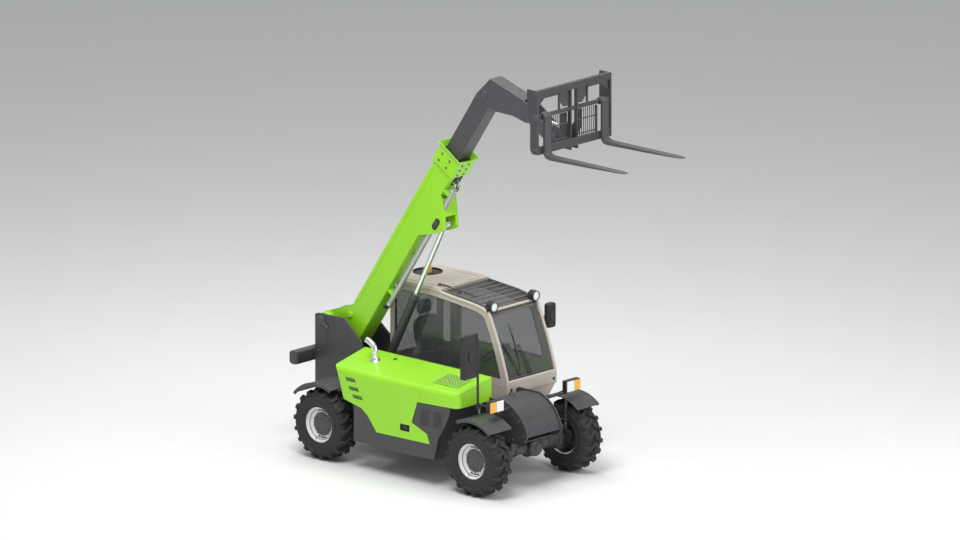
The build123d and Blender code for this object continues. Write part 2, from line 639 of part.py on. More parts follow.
# ---------------------------------------------------------------- outer boom
mid_v = (boom_top + boom_low) / 2
boom_h = boom_top - boom_low
mouth_plane = Plane(origin=boom_plane.from_local_coords(Vector(boom_end, mid_v, 0)),
                    x_dir=(0, 1, 0), z_dir=boom_plane.x_dir)
lip = 50.0                          # depth of the flared mouth
ear_points = [(-85, 0), (-60, 60), (0, 85), (90, 40), (400, -190), (400, -490), (60, -490), (-60, -120)]
bracket_points = [(1800, -480), (2004, -677), (2100, -750), (2145, -765), (2180, -735), (2420, -530),
                  (2450, -480)]
ext_v = -583.0                      # line of the extension cylinder, under the boom
ext_y = -72.0                       # and beside the lift cylinder's path
ext_r = 35.0
ear_t = 12.0                        # plates that hold the lift cylinder's upper pin

with BuildPart() as boom_outer:
    boom_block(60, boom_end, boom_low, boom_top, -boom_half, boom_half)
    boom_block(2730, boom_end, boom_low - 22, boom_top + 22, -boom_half - 20, boom_half + 20)
    with BuildSketch(mouth_plane) as mouth:
        Rectangle(2 * boom_half + 40, boom_h + 44)
    extrude(mouth.sketch, amount=lip, taper=-26)
    for side in (-1, 1):
        y0 = min(side * (boom_half - 20), side * boom_half)
        boom_slab(ear_points, y0, y0 + 20)
        boss = boom_point(266, -222)
        boss_y = boom_y + side * 127
        pin_y(boss[0], boss[1], 40, boss_y - 8, boss_y + 8)
        y1 = min(side * (boom_half - ear_t), side * boom_half)
        boom_slab(bracket_points, y1, y1 + ear_t)
        y0 = boom_y + min(side * (boom_half - 20), side * 215)
        pin_y(pivot_x, pivot_z, 78, y0, y0 + 95 + 20)
    boom_slab([(2150, -750), (2420, -530), (2412, -520), (2142, -740)], -boom_half + 10, boom_half - 10)
    for u in (900, 2500):
        boom_block(u, u + 40, ext_v, boom_low + 1, ext_y - 40, ext_y + 40)
    boom_block(59, boom_end + lip + 10, boom_low + sheet, boom_top - sheet, -boom_half + sheet,
               boom_half - sheet, Mode.SUBTRACT)
    with BuildSketch(mouth_plane) as mouth_in:
        Rectangle(2 * (boom_half - sheet), boom_h - 2 * sheet)
    extrude(mouth_in.sketch, amount=lip + 1, taper=-45, mode=Mode.SUBTRACT)
    boom_block(2120, 2250, -780, -640, -85, 85, Mode.SUBTRACT)
    with Locations(boom_plane * Location((2350, ext_v, -ext_y), (0, 90, 0))):
        Cylinder(ext_r + running, 3400, mode=Mode.SUBTRACT)
    pin_y(pivot_x, pivot_z, pivot_r + running, boom_y - 260, boom_y + 260, Mode.SUBTRACT)
    for side in (-1, 1):
        y0 = min(side * (inner_half + pad_gap), side * (boom_half - sheet + 1))
        boom_block(2800, 2930, mid_v - 60, mid_v + 60, y0, y0 + boom_half - sheet + 1 - inner_half - pad_gap)
    boom_block(2800, 2930, inner_top + pad_gap, boom_top - sheet + 1, -60, 60)
    boom_block(2800, 2930, boom_low + sheet - 1, inner_low - pad_gap, -60, 60)
save("boom_outer", boom_outer)

# ---------------------------------------------------------------- extension cylinder under the boom
with BuildPart() as extension_cylinder:
    end_u = 2600.0
    start = boom_point(750, ext_v)
    end = boom_point(end_u, ext_v)
    bar((start[0], boom_y + ext_y, start[1]), (end[0], boom_y + ext_y, end[1]), ext_r)
    boom_block(end_u, end_u + 15, ext_v - 12, ext_v + 12, ext_y - 30, ext_y + 30)
save("extension_cylinder", extension_cylinder)

# ---------------------------------------------------------------- covers over the lift cylinder's upper pin
with BuildPart() as lift_pin_covers:
    for side in (-1, 1):
        y0 = min(side * boom_half, side * (boom_half + 8))
        with BuildSketch(boom_plane.offset(-(y0 + 8))) as cover:
            with Locations((2107, -626)):
                SlotOverall(154, 72)
        extrude(cover.sketch, amount=8, dir=(0, -1, 0))
save("lift_pin_covers", lift_pin_covers)

# ---------------------------------------------------------------- inner boom and its bent nose
nose_side = [(3820, -225), (4112, -286), (4260, -809), (4258, -1133), (4248, -1416), (4104, -1416),
             (4094, -1026), (4059, -970), (3989, -782), (3837, -541), (3820, -455)]
nose_void = [(3700, -237), (4101, -299), (4246, -812), (4320, -812), (4320, -1520), (4071, -1520),
             (4071, -975), (4002, -777), (3849, -536), (3832, -443), (3700, -443)]
tilt_pin_r = 25.0
tilt_base_r = 20.0
inner_in = inner_half - sheet
with BuildPart() as boom_inner:
    boom_block(1600, 3821, inner_low, inner_top, -inner_half, inner_half)
    boom_slab(nose_side, -inner_half, inner_half)
    for side in (-1, 1):
        y0 = boom_y + min(side * (inner_half - sheet), side * inner_half)
        pin_y(tilt_x, tilt_z, 62, y0, y0 + sheet)
    boom_block(1599, 3705, inner_low + sheet, inner_top - sheet, -inner_in, inner_in, Mode.SUBTRACT)
    boom_slab(nose_void, -inner_in, inner_in, Mode.SUBTRACT)
    for v0, v1 in ((inner_top - 1, boom_top - sheet - pad_gap), (boom_low + sheet + pad_gap, inner_low + 1)):
        boom_block(1600, 1700, v0, v1, -60, 60)
    pin_y(tilt_x, tilt_z, tilt_pin_r, boom_y - inner_half - 10, boom_y + inner_half + 10)
    pin_y(tilt_base_x, tilt_base_z, tilt_base_r, boom_y - inner_half - 6, boom_y + inner_half + 6)
save("boom_inner", boom_inner)


# ---------------------------------------------------------------- cylinders
def along(x0, z0, x1, z1, s):
    """The point a distance s from the first pin towards the second."""
    d = ((x1 - x0) ** 2 + (z1 - z0) ** 2) ** 0.5
    return x0 + (x1 - x0) * s / d, z0 + (z1 - z0) * s / d


def tube(x0, z0, x1, z1, s0, s1, r, mode=Mode.ADD):
    a = along(x0, z0, x1, z1, s0)
    b = along(x0, z0, x1, z1, s1)
    bar((a[0], boom_y, a[1]), (b[0], boom_y, b[1]), r, mode)


lift_line = (lift_base_x, lift_base_z, lift_eye_x, lift_eye_z)
lift_len = ((lift_eye_x - lift_base_x) ** 2 + (lift_eye_z - lift_base_z) ** 2) ** 0.5
lift_rod_r = 30.0
with BuildPart() as lift_barrel:
    tube(*lift_line, 40, 1460, 52)
    pin_y(lift_base_x, lift_base_z, 55, boom_y - lift_lug_in + 7.5, boom_y + lift_lug_in - 7.5)
    tube(*lift_line, 120, 1430, 42, Mode.SUBTRACT)
    tube(*lift_line, 1420, 1461, lift_rod_r + running, Mode.SUBTRACT)
    pin_y(lift_base_x, lift_base_z, lift_pin_r + running, boom_y - 100, boom_y + 100, Mode.SUBTRACT)
save("lift_barrel", lift_barrel)


lift_eye_half = 32.0                # half width of the rod's eye
with BuildPart() as lift_rod:
    tube(*lift_line, 1040, lift_len - 40, lift_rod_r)
    pin_y(lift_eye_x, lift_eye_z, 48, boom_y - lift_eye_half, boom_y + lift_eye_half)
    pin_y(lift_eye_x, lift_eye_z, 25, boom_y - 80, boom_y + 80, Mode.SUBTRACT)
save("lift_rod", lift_rod)

tilt_line = (tilt_base_x, tilt_base_z, tilt_eye_x, tilt_eye_z)
tilt_len = ((tilt_eye_x - tilt_base_x) ** 2 + (tilt_eye_z - tilt_base_z) ** 2) ** 0.5
tilt_rod_r = 22.0
with BuildPart() as tilt_barrel:
    tube(*tilt_line, 20, 620, 34)
    pin_y(tilt_base_x, tilt_base_z, 34, boom_y - 34, boom_y + 34)
    tube(*tilt_line, 100, 600, 26, Mode.SUBTRACT)
    tube(*tilt_line, 590, 621, tilt_rod_r + running, Mode.SUBTRACT)
    pin_y(tilt_base_x, tilt_base_z, tilt_base_r + running, boom_y - 60, boom_y + 60, Mode.SUBTRACT)
save("tilt_barrel", tilt_barrel)

with BuildPart() as tilt_rod:
    tube(*tilt_line, 300, tilt_len - 20, tilt_rod_r)
    pin_y(tilt_eye_x, tilt_eye_z, 30, boom_y - 22, boom_y + 22)
    pin_y(tilt_eye_x, tilt_eye_z, 16, boom_y - 60, boom_y + 60, Mode.SUBTRACT)
save("tilt_rod", tilt_rod)

# ---------------------------------------------------------------- fork frame
frame_half = 620.0
frame_top = 4900.0
frame_low = frame_top - 750.0
shaft_x = frame_front - 35.0
shaft_z = frame_top - 310.0
shaft_r = 25.0
rib_in = 46.0
rib_t = 18.0
bar_t = 50.0                        # depth of the top bar and of the ribs up to it
with BuildPart() as fork_frame:
    for side in (-1, 1):
        y0 = boom_y + min(side * (frame_half - 20), side * frame_half)
        slab([(3070, frame_top), (frame_front, frame_top), (frame_front, frame_low), (3150, frame_low),
              (3120, frame_low + 50), (3120, frame_low + 350), (3070, frame_low + 410)], y0, y0 + 20)
        y0 = boom_y + min(side * rib_in, side * (rib_in + rib_t))
        slab([(frame_front - 80, tilt_z - 60), (2985, tilt_z - 53), (2950, tilt_z + 20), (3095, tilt_z + 175),
              (3110, tilt_z + 192), (3145, tilt_z + 192), (frame_front - bar_t, tilt_z + 250),
              (frame_front - bar_t, frame_top - 40), (frame_front, frame_top - 40),
              (frame_front, tilt_z - 60)],
             y0, y0 + rib_t)
        pin_y(tilt_x, tilt_z, 55, y0, y0 + rib_t)
        pin_y(tilt_eye_x, tilt_eye_z, 38, y0, y0 + rib_t)
    frame_y = (boom_y - frame_half, boom_y + frame_half)
    block(frame_front - bar_t, frame_front, *frame_y, frame_top - 80, frame_top)
    block(frame_front - 30, frame_front, *frame_y, frame_low, frame_low + 90)
    pin_y(rear_x + shaft_x, shaft_z, shaft_r, boom_y - frame_half, boom_y + frame_half)
    pin_y(tilt_x, tilt_z, tilt_pin_r + running, boom_y - 130, boom_y + 130, Mode.SUBTRACT)
save("fork_frame", fork_frame)

fork_y = 485.0
fork_w = 100.0
fork_t = 40.0
fork_low = frame_low - 60.0
fork_top = shaft_z + 40.0
blade_top = fork_low + 45.0
blade_end = frame_front + blade_out
with BuildPart() as forks:
    for side in (-1, 1):
        y0 = boom_y + side * fork_y - fork_w / 2
        slab([(frame_front, fork_low), (frame_front, fork_top), (frame_front + fork_t, fork_top),
              (frame_front + fork_t, blade_top), (blade_end, blade_top), (blade_end, blade_top - 12),
              (frame_front + 250, fork_low)], y0, y0 + fork_w)
        block(shaft_x - 39, frame_front + 1, y0 + 10, y0 + fork_w - 10, shaft_z - 40, fork_top)
        pin_y(rear_x + shaft_x, shaft_z, shaft_r + running, y0 - 10, y0 + fork_w + 10, Mode.SUBTRACT)
save("forks", forks)
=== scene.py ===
import json
from math import atan, copysign, cos, degrees, exp, pi, radians, sin, sqrt, tan, tau

import bmesh
import bpy
from mathutils import Matrix, Vector


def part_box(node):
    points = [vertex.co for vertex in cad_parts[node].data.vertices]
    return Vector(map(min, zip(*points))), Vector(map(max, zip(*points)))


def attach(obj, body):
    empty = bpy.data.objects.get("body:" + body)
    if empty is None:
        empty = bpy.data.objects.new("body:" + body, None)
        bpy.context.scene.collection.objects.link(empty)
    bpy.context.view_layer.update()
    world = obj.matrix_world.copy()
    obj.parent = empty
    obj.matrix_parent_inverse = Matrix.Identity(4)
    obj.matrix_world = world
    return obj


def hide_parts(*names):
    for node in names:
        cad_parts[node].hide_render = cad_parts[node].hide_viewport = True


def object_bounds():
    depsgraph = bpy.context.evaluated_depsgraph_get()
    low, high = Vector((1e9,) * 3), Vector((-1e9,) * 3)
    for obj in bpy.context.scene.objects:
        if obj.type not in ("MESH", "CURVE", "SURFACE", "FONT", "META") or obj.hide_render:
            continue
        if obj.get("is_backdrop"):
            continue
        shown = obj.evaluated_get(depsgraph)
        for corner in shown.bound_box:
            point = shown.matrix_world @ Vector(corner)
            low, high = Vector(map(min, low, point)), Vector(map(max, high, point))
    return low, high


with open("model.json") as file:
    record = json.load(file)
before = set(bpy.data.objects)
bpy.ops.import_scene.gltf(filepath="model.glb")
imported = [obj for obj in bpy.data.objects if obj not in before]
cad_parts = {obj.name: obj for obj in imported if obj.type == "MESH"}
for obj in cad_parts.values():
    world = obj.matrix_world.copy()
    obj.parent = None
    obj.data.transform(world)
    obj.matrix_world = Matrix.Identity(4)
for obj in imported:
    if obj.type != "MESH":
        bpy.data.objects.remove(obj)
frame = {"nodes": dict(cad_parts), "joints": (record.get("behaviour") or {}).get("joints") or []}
nodes = frame["nodes"]
joints = {j["name"]: j for j in frame["joints"]}
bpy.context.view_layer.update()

# The machine's own lines, read from the frame: the boom's plane, its pivot and its direction.
pivot = Vector(joints["boom_lift"]["pos_m"])
boom_dir = Vector(joints["boom_extend"]["axis"]).normalized()
boom_up = Vector((-boom_dir.z, 0, boom_dir.x))
boom_y = pivot.y
rear_axle = Vector(joints["spin_rear_right"]["pos_m"]).x
front_axle = Vector(joints["spin_front_right"]["pos_m"]).x

# ---------------------------------------------------------------- studio: camera, floor and lights
# A long lens far away, as a product picture has, looking down on the machine's right front
# from about fifteen degrees, with a pale floor and four large soft lights.
camera = bpy.data.objects.new("camera", bpy.data.cameras.new("camera"))
bpy.context.scene.collection.objects.link(camera)
bpy.context.scene.camera = camera
camera.data.lens = 800
camera.data.sensor_width = 36
camera.data.clip_start = 10
camera.data.clip_end = 700
camera_back = Vector((0.6575, -0.71, 0.2521))
camera.location = Vector((-0.1875, 0, 2.386)) + camera_back * 245.2
camera.rotation_euler = (radians(75.4), 0, radians(42.8))

for name, place, aim_z, size, power in (("key_light", (2.5, -6, 13), 1.5, 6, 1250),
                                        ("fill_light", (11, 3, 6), 1.5, 8, 520),
                                        ("low_fill", (6, -7, 1.0), 2.6, 4, 70),
                                        ("top_light", (-4, 1, 13), 1.5, 8, 760)):
    light = bpy.data.objects.new(name, bpy.data.lights.new(name, "AREA"))
    bpy.context.scene.collection.objects.link(light)
    light.data.size = size
    light.data.energy = power
    light.location = place
    light.rotation_euler = (Vector(place) - Vector((0, 0, aim_z))).to_track_quat("Z", "Y").to_euler()

world = bpy.data.worlds.new("studio")
bpy.context.scene.world = world
world.use_nodes = True
sky = world.node_tree.nodes["Background"].inputs
sky["Color"].default_value = (0.9, 0.92, 0.94, 1)
sky["Strength"].default_value = 0.47
bpy.context.scene.view_settings.view_transform = "Standard"


# ---------------------------------------------------------------- shared material effects
# Paint, plastic, rubber and steel share one group: soft mottling, sharp edges lightened partly as rubbed
# wear and partly as a painted highlight, and dust that settles on what faces up. Glass and lenses have
# their own shorter material.
def new_node(tree, kind, wired=None, **settings):
    """A shader node; wired gives each input a socket to link from or a constant."""
    node = tree.nodes.new("ShaderNode" + kind)
    for label, value in settings.items():
        setattr(node, label, value)
    for label, value in (wired or {}).items():
        if isinstance(value, bpy.types.NodeSocket):
            tree.links.new(value, node.inputs[label])
        else:
            node.inputs[label].default_value = value
    return node


def worn_highlit_surface_group():
    """Soft mottling, sharp edges lightened as wear and as a painted highlight, and settled dust, for every
    painted or moulded face.
    """
    group = bpy.data.node_groups.new("worn_highlit_surface", "ShaderNodeTree")
    for label, kind, value in (("Color", "Color", (0.5, 0.5, 0.5, 1)),
                               ("Edge Color", "Color", (0.6, 0.6, 0.6, 1)), ("Roughness", "Float", 0.4),
                               ("Mottle", "Float", 0.12), ("Edge Wear", "Float", 0.3),
                               ("Dust", "Float", 0.15), ("Grain Scale", "Float", 400.0),
                               ("Grain Depth", "Float", 0.05)):
        socket = group.interface.new_socket(name=label, in_out="INPUT", socket_type="NodeSocket" + kind)
        socket.default_value = value
    for label, kind in (("Color", "Color"), ("Roughness", "Float"), ("Normal", "Vector")):
        group.interface.new_socket(name=label, in_out="OUTPUT", socket_type="NodeSocket" + kind)
    given = group.nodes.new("NodeGroupInput").outputs
    result = group.nodes.new("NodeGroupOutput").inputs
    place = new_node(group, "TexCoord").outputs["Object"]

    patches = new_node(group, "TexNoise", {"Scale": 3.0, "Detail": 5.0, "Vector": place})
    shade = new_node(group, "MapRange", {"To Min": -1.0, "To Max": 1.0, "Value": patches.outputs["Fac"]})
    shade = shade.outputs["Result"]
    amount = new_node(group, "Math", {0: shade, 1: given["Mottle"], 2: 1.0}, operation="MULTIPLY_ADD")
    tint = new_node(group, "HueSaturation", {"Color": given["Color"], "Value": amount.outputs["Value"]})

    corner = new_node(group, "Bevel", {"Radius": 0.004}, samples=4).outputs["Normal"]
    face = new_node(group, "NewGeometry").outputs["Normal"]
    turn = new_node(group, "VectorMath", {0: corner, 1: face}, operation="DOT_PRODUCT")
    # Sharp edges are mixed towards the edge colour: partly rubbed wear, partly a painted highlight along
    # the edges.
    sharp = new_node(group, "MapRange",
                     {"From Min": 0.995, "From Max": 0.9, "Value": turn.outputs["Value"]})
    wear = new_node(group, "Math", {0: sharp.outputs["Result"], 1: given["Edge Wear"]},
                    operation="MULTIPLY")
    worn_and_highlit = new_node(group, "Mix", {"Factor": wear.outputs["Value"], "A": tint.outputs["Color"],
                                   "B": given["Edge Color"]}, data_type="RGBA")

    facing = new_node(group, "SeparateXYZ", {"Vector": face})
    settled = new_node(group, "MapRange", {"From Min": 0.3, "Value": facing.outputs["Z"]})
    specks = new_node(group, "TexNoise", {"Scale": 18.0, "Detail": 6.0, "Vector": place})
    dusty = new_node(group, "Math", {0: settled.outputs["Result"], 1: specks.outputs["Fac"]},
                     operation="MULTIPLY")
    dust = new_node(group, "Math", {0: dusty.outputs["Value"], 1: given["Dust"]}, operation="MULTIPLY")
    covered = new_node(group, "Mix", {"B": (0.55, 0.52, 0.46, 1), "Factor": dust.outputs["Value"],
                                      "A": worn_and_highlit.outputs["Result"]}, data_type="RGBA")

    sheen = new_node(group, "Math", {0: shade, 1: 0.1, 2: given["Roughness"]}, operation="MULTIPLY_ADD")
    matt = new_node(group, "Math", {0: sheen.outputs["Value"], 1: dust.outputs["Value"]})
    grain = new_node(group, "TexNoise", {"Vector": place, "Scale": given["Grain Scale"]})
    relief = new_node(group, "Bump", {"Distance": 0.002, "Strength": given["Grain Depth"],
                                      "Height": grain.outputs["Fac"], "Normal": corner})
    group.links.new(covered.outputs["Result"], result["Color"])
    group.links.new(matt.outputs["Value"], result["Roughness"])
    group.links.new(relief.outputs["Normal"], result["Normal"])
    return group


worn_highlit_surface = worn_highlit_surface_group()


slot_of = {}                        # the slot that each finish fills


def new_material(name, slot):
    material = bpy.data.materials.new(name)
    material.use_nodes = True
    slot_of[material] = slot
    return material, material.node_tree, material.node_tree.nodes["Principled BSDF"].inputs


def worn_highlit_material(name, color, roughness, metallic=0.0, edge=None, slot=None, **settings):
    """A surface with the shared mottling, edges lightened as wear and as painted highlight, and dust;
    settings name the group's inputs.
    """
    material, tree, shader = new_material(name, slot)
    finish = tree.nodes.new("ShaderNodeGroup")
    finish.node_tree = worn_highlit_surface
    finish.inputs["Color"].default_value = (*color, 1)
    # Unless given, the edge colour is a lighter copy of the base colour, for edges that are worn and carry
    # a painted highlight.
    finish.inputs["Edge Color"].default_value = (*(edge or [min(1, c * 1.6 + 0.03) for c in color]), 1)
    finish.inputs["Roughness"].default_value = roughness
    for label, value in settings.items():
        finish.inputs[label.replace("_", " ").title()].default_value = value
    shader["Metallic"].default_value = metallic
    for label, target in (("Roughness", "Roughness"), ("Normal", "Normal"), ("Color", "Base Color")):
        tree.links.new(finish.outputs[label], shader[target])
    return material


def clear_material(name, color, roughness, see_through, slot=None):
    """Tinted glass or a lamp's lens: a glossy face that partly lets through what is behind it."""
    material, tree, shader = new_material(name, slot)
    smears = new_node(tree, "TexNoise", {"Scale": 6.0})
    film = new_node(tree, "MapRange", {"Value": smears.outputs["Fac"], "To Min": roughness,
                                       "To Max": roughness + 0.08})
    tree.links.new(film.outputs["Result"], shader["Roughness"])
    shader["Base Color"].default_value = (*color, 1)
    shader["Alpha"].default_value = 1 - see_through
    shader["Specular IOR Level"].default_value = 0.6
    return material


def mesh_object(name, mesh, finish):
    data = bpy.data.meshes.new(name)
    mesh.to_mesh(data)
    mesh.free()
    data.materials.append(finish)
    thing = bpy.data.objects.new(name, data)
    bpy.context.scene.collection.objects.link(thing)
    return thing


studio_floor = worn_highlit_material("studio_floor", (0.8, 0.8, 0.79), 0.65, mottle=0.01, edge_wear=0.0, dust=0.0,
                             grain_depth=0.0)
floor_mesh = bmesh.new()
bmesh.ops.create_grid(floor_mesh, x_segments=1, y_segments=1, size=400)
floor = mesh_object("floor", floor_mesh, studio_floor)
floor.location.z = -0.001
floor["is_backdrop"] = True

# ---------------------------------------------------------------- chassis and tower
# Two thick side plates stand up behind the cab and carry the boom's pivot between them. They are
# closed by a folded plate at the back, bolted through at the corners and painted dark.
charcoal = worn_highlit_material("charcoal_paint", (0.047, 0.048, 0.052), 0.42, edge=(0.21, 0.22, 0.24),
                         mottle=0.14, edge_wear=0.55, dust=0.1, slot="dark_paint")
graphite = worn_highlit_material("graphite_paint", (0.06, 0.061, 0.066), 0.4, edge=(0.24, 0.25, 0.27), mottle=0.12,
                         edge_wear=0.5, dust=0.12, slot="dark_paint")
bolt_steel = worn_highlit_material("bolt_steel", (0.1, 0.1, 0.11), 0.35, metallic=0.7, edge=(0.5, 0.5, 0.5),
                           mottle=0.2, slot="dark_paint")
black_plastic = worn_highlit_material("black_plastic", (0.016, 0.016, 0.018), 0.5, edge=(0.12, 0.12, 0.13),
                              mottle=0.12, edge_wear=0.4, dust=0.1, grain_scale=900.0, grain_depth=0.25,
                              slot="black_plastic")
red_lens = clear_material("red_lens", (0.6, 0.02, 0.015), 0.1, 0.08)
four_corners = ((-1, -1), (1, -1), (1, 1), (-1, 1))


def finish_nodes(finish, *names):
    for name in names:
        nodes[name].data.materials.clear()
        nodes[name].data.materials.append(finish)


def at(x, y, z):
    """A point by its distance ahead of the rear axle, its side and its height."""
    return Vector((rear_axle + x, y, z))


def on_side(y, outline):
    """(distance ahead of the rear axle, height) pairs on one upright plane."""
    return [at(x, y, z) for x, z in outline]


def box_of(node):
    low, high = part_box(node)
    return Vector(low), Vector(high)


def turned_y(degrees):
    return Matrix.Rotation(radians(degrees), 4, "Y")


def add_box(mesh, middle, size, turn=Matrix()):
    place = Matrix.Translation(middle) @ turn @ Matrix.Diagonal((*size, 1))
    bmesh.ops.create_cube(mesh, size=1, matrix=place)


def add_skin(mesh, rows, ring=False):
    """Rows of points joined into a skin, capped at both ends or, as a ring, closed on itself."""
    rows = [[mesh.verts.new(p) for p in row] for row in rows]
    for one, two in zip(rows, rows[1:] + rows[:1] if ring else rows[1:]):
        for k in range(len(one)):
            mesh.faces.new((one[k - 1], one[k], two[k], two[k - 1]))
    if not ring:
        mesh.faces.new(rows[0][::-1])
        mesh.faces.new(rows[-1])


def add_turned(mesh, base, axis, profile, steps=32, ring=False):
    """(distance, radius) pairs along an axis, turned about it."""
    turn = Vector(axis).to_track_quat("Z", "Y").to_matrix()
    around = [tau * k / steps for k in range(steps)]
    add_skin(mesh, [[Vector(base) + turn @ Vector((r * cos(t), r * sin(t), d)) for t in around]
                    for d, r in profile], ring)


def add_plate(mesh, outline, depth):
    """A flat outline of points, thickened along the depth vector."""
    add_skin(mesh, [outline, [Vector(p) + Vector(depth) for p in outline]])


def smooth_line(points, steps=6):
    """A curve through the points, for pipes, seals and arms."""
    points = [Vector(p) for p in points]
    ends = [points[0] * 2 - points[1], *points, points[-1] * 2 - points[-2]]
    line = []
    for a, b, c, d in zip(ends, ends[1:], ends[2:], ends[3:]):
        for k in range(steps):
            t = k / steps
            line.append(0.5 * (2 * b + (c - a) * t + (2 * a - 5 * b + 4 * c - d) * t ** 2
                               + (3 * b - a - 3 * c + d) * t ** 3))
    return line + [points[-1]]


def add_pipe(mesh, line, radius, sides=12, closed=False):
    """A round bar swept along a line of points, its section carried along without twist."""
    count = len(line)
    side = None
    rounds = []
    for k, place in enumerate(line):
        before = line[k - 1] if closed or k else line[0]
        after = line[(k + 1) % count] if closed or k < count - 1 else line[-1]
        ahead = (after - before).normalized()
        side = side or ahead.orthogonal().normalized()
        side = (side - ahead * side.dot(ahead)).normalized()
        up = ahead.cross(side)
        rounds.append([place + (side * cos(t) + up * sin(t)) * radius
                       for t in (tau * k / sides for k in range(sides))])
    add_skin(mesh, rounds, closed)


def add_hose(mesh, points, radius, sides=8, steps=6):
    add_pipe(mesh, smooth_line(points, steps), radius, sides)


def add_bolt(mesh, place, axis, size=0.01):
    """A washer and a six-sided head with a small chamfer."""
    add_turned(mesh, place, axis, ((-0.002, size * 1.5), (size * 0.25, size * 1.5),
                                   (size * 0.3, size * 1.4)), 16)
    add_turned(mesh, place, axis, ((0, size), (size * 0.8, size), (size * 0.95, size * 0.85)), 6)


def piece(name, mesh, body, finish, rounding=0.0015, smooth=40, slot=None):
    """The mesh as an object that rides on its body, with its finish and its rounded edges."""
    slot = slot or slot_of[finish]
    bmesh.ops.recalc_face_normals(mesh, faces=mesh.faces)
    thing = mesh_object(name, mesh, finish)
    thing.data.shade_smooth()
    thing.data.set_sharp_from_angle(angle=radians(smooth))
    if rounding:
        edges = thing.modifiers.new("rounding", "BEVEL")
        edges.width = rounding
        edges.segments = 2
        edges.angle_limit = radians(35)
        edges.harden_normals = True
    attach(thing, body)
    return thing


finish_nodes(charcoal, "chassis_frame", "rear_lamp_bar")
finish_nodes(red_lens, "red_lenses")
tower_out = 0.25                   # outer face of a tower plate from the boom plane
bolts = bmesh.new()
seams = bmesh.new()
keepers = bmesh.new()
for side in (-1, 1):
    y = boom_y + side * tower_out
    for x, z in ((-0.555, 1.49), (-0.565, 0.64), (-0.555, 1.1), (0.12, 0.72), (0.12, 1.16), (-0.32, 0.64)):
        add_bolt(bolts, at(x, y, z), (0, side, 0), 0.012)
    for outline in (((-0.598, 0.98), (-0.1, 0.905), (-0.1, 0.897), (-0.598, 0.972)),
                    ((-0.4, 1.4), (-0.392, 1.4), (-0.43, 1.1), (-0.44, 1.1))):
        add_plate(seams, on_side(y, outline), (0, side * 0.004, 0))
    y += side * 0.008
    add_turned(keepers, (pivot.x, y, pivot.z), (0, side, 0),
               ((-0.002, 0.056), (0.008, 0.056), (0.011, 0.052), (0.011, 0.034), (0.02, 0.031),
                (0.022, 0.024)), 40)
    add_box(keepers, Vector((pivot.x + 0.065, y + side * 0.004, pivot.z - 0.05)), (0.09, 0.01, 0.032),
            turned_y(37))
    add_bolt(keepers, Vector((pivot.x + 0.092, y + side * 0.009, pivot.z - 0.07)), (0, side, 0), 0.009)
piece("tower_bolts", bolts, "chassis", bolt_steel, 0.0008)
piece("tower_seams", seams, "chassis", charcoal, 0.001)
piece("pivot_pin_keepers", keepers, "chassis", graphite)

lamp_low, lamp_high = box_of("rear_lamp_bar")
tail_middle = (lamp_low + lamp_high) / 2
half_x, _, half_z = (lamp_high - lamp_low) / 2


def bar_section(y, inset, corner=0.034):
    """The lamp bar's rounded section at one place along it."""
    outline = []
    for k in range(28):
        turn = tau * (k + 0.5) / 28
        sx, sz = cos(turn), sin(turn)
        outline.append(Vector((tail_middle.x + copysign(half_x - inset - corner, sx) + sx * corner, y,
                               tail_middle.z + copysign(half_z - inset - corner, sz) + sz * corner)))
    return outline


tail = bmesh.new()
add_skin(tail, [bar_section(lamp_low.y, 0.012), bar_section(lamp_low.y + 0.01, 0.0),
                bar_section(lamp_high.y - 0.01, 0.0), bar_section(lamp_high.y, 0.012)])
bar_piece = piece("rear_lamp_bar_body", tail, "chassis", charcoal, 0.002)
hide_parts("rear_lamp_bar")
ends = bmesh.new()
for side in (-1, 1):
    y = side * (lamp_high.y + 0.0005)
    add_pipe(ends, bar_section(y, 0.014, 0.026), 0.004, 8, closed=True)
    for z in (-0.036, 0, 0.036):
        add_box(ends, Vector((tail_middle.x, y, tail_middle.z + z)), (0.05, 0.004, 0.016))
    add_box(ends, Vector((lamp_low.x - 0.003, side * 0.3, tail_middle.z)), (0.012, 0.16, 0.1))
piece("rear_lamp_bar_ends", ends, "chassis", graphite, 0.001)

hitch = bmesh.new()
add_turned(hitch, at(-0.68, 0, 0.738), (0, 0, 1), ((-0.018, 0.032), (0, 0.032), (0, 0.018)), 32, ring=True)
for side in (-1, 1):
    cheek = ((-0.6, 0.61), (-0.69, 0.61), (-0.69, 0.69), (-0.6, 0.78))
    add_plate(hitch, on_side(side * 0.075, cheek), (0, side * 0.01, 0))
    for z in (0.65, 0.8):
        add_bolt(hitch, at(-0.598, side * 0.15, z), (-1, 0, 0), 0.011)
piece("tow_hitch_cheeks", hitch, "chassis", charcoal)

lines = bmesh.new()
for k, y in enumerate((-0.15, -0.12, -0.02, 0.01)):
    rise = 0.02 * k
    add_hose(lines, on_side(y, ((0.1, 0.64), (-0.06, 0.7), (-0.2, 0.78 + rise), (-0.34, 0.82 + rise),
                                (-0.5, 0.8))), 0.011, 10)
piece("tower_hydraulic_lines", lines, "chassis", black_plastic, 0)

# ---------------------------------------------------------------- nose
# Two rounded plates and a curved cover reach forward between the front wheels. The cover has a
# folded seam, a lifting eye on top, and bolts along both plates.
finish_nodes(charcoal, "nose_cover")
nose_low, nose_high = box_of("nose_cover")
nose_out = 0.3                    # outer face of a nose plate from the boom plane
nose_center = at(2.283, 0, 0.545)
cover_radius = 0.4965               # a little inside the cover's outer skin


def round_y(middle, radius, degrees, y):
    """A point round a line along Y, by its turn up from straight ahead."""
    turn = radians(degrees)
    return Vector((middle.x + radius * cos(turn), y, middle.z + radius * sin(turn)))


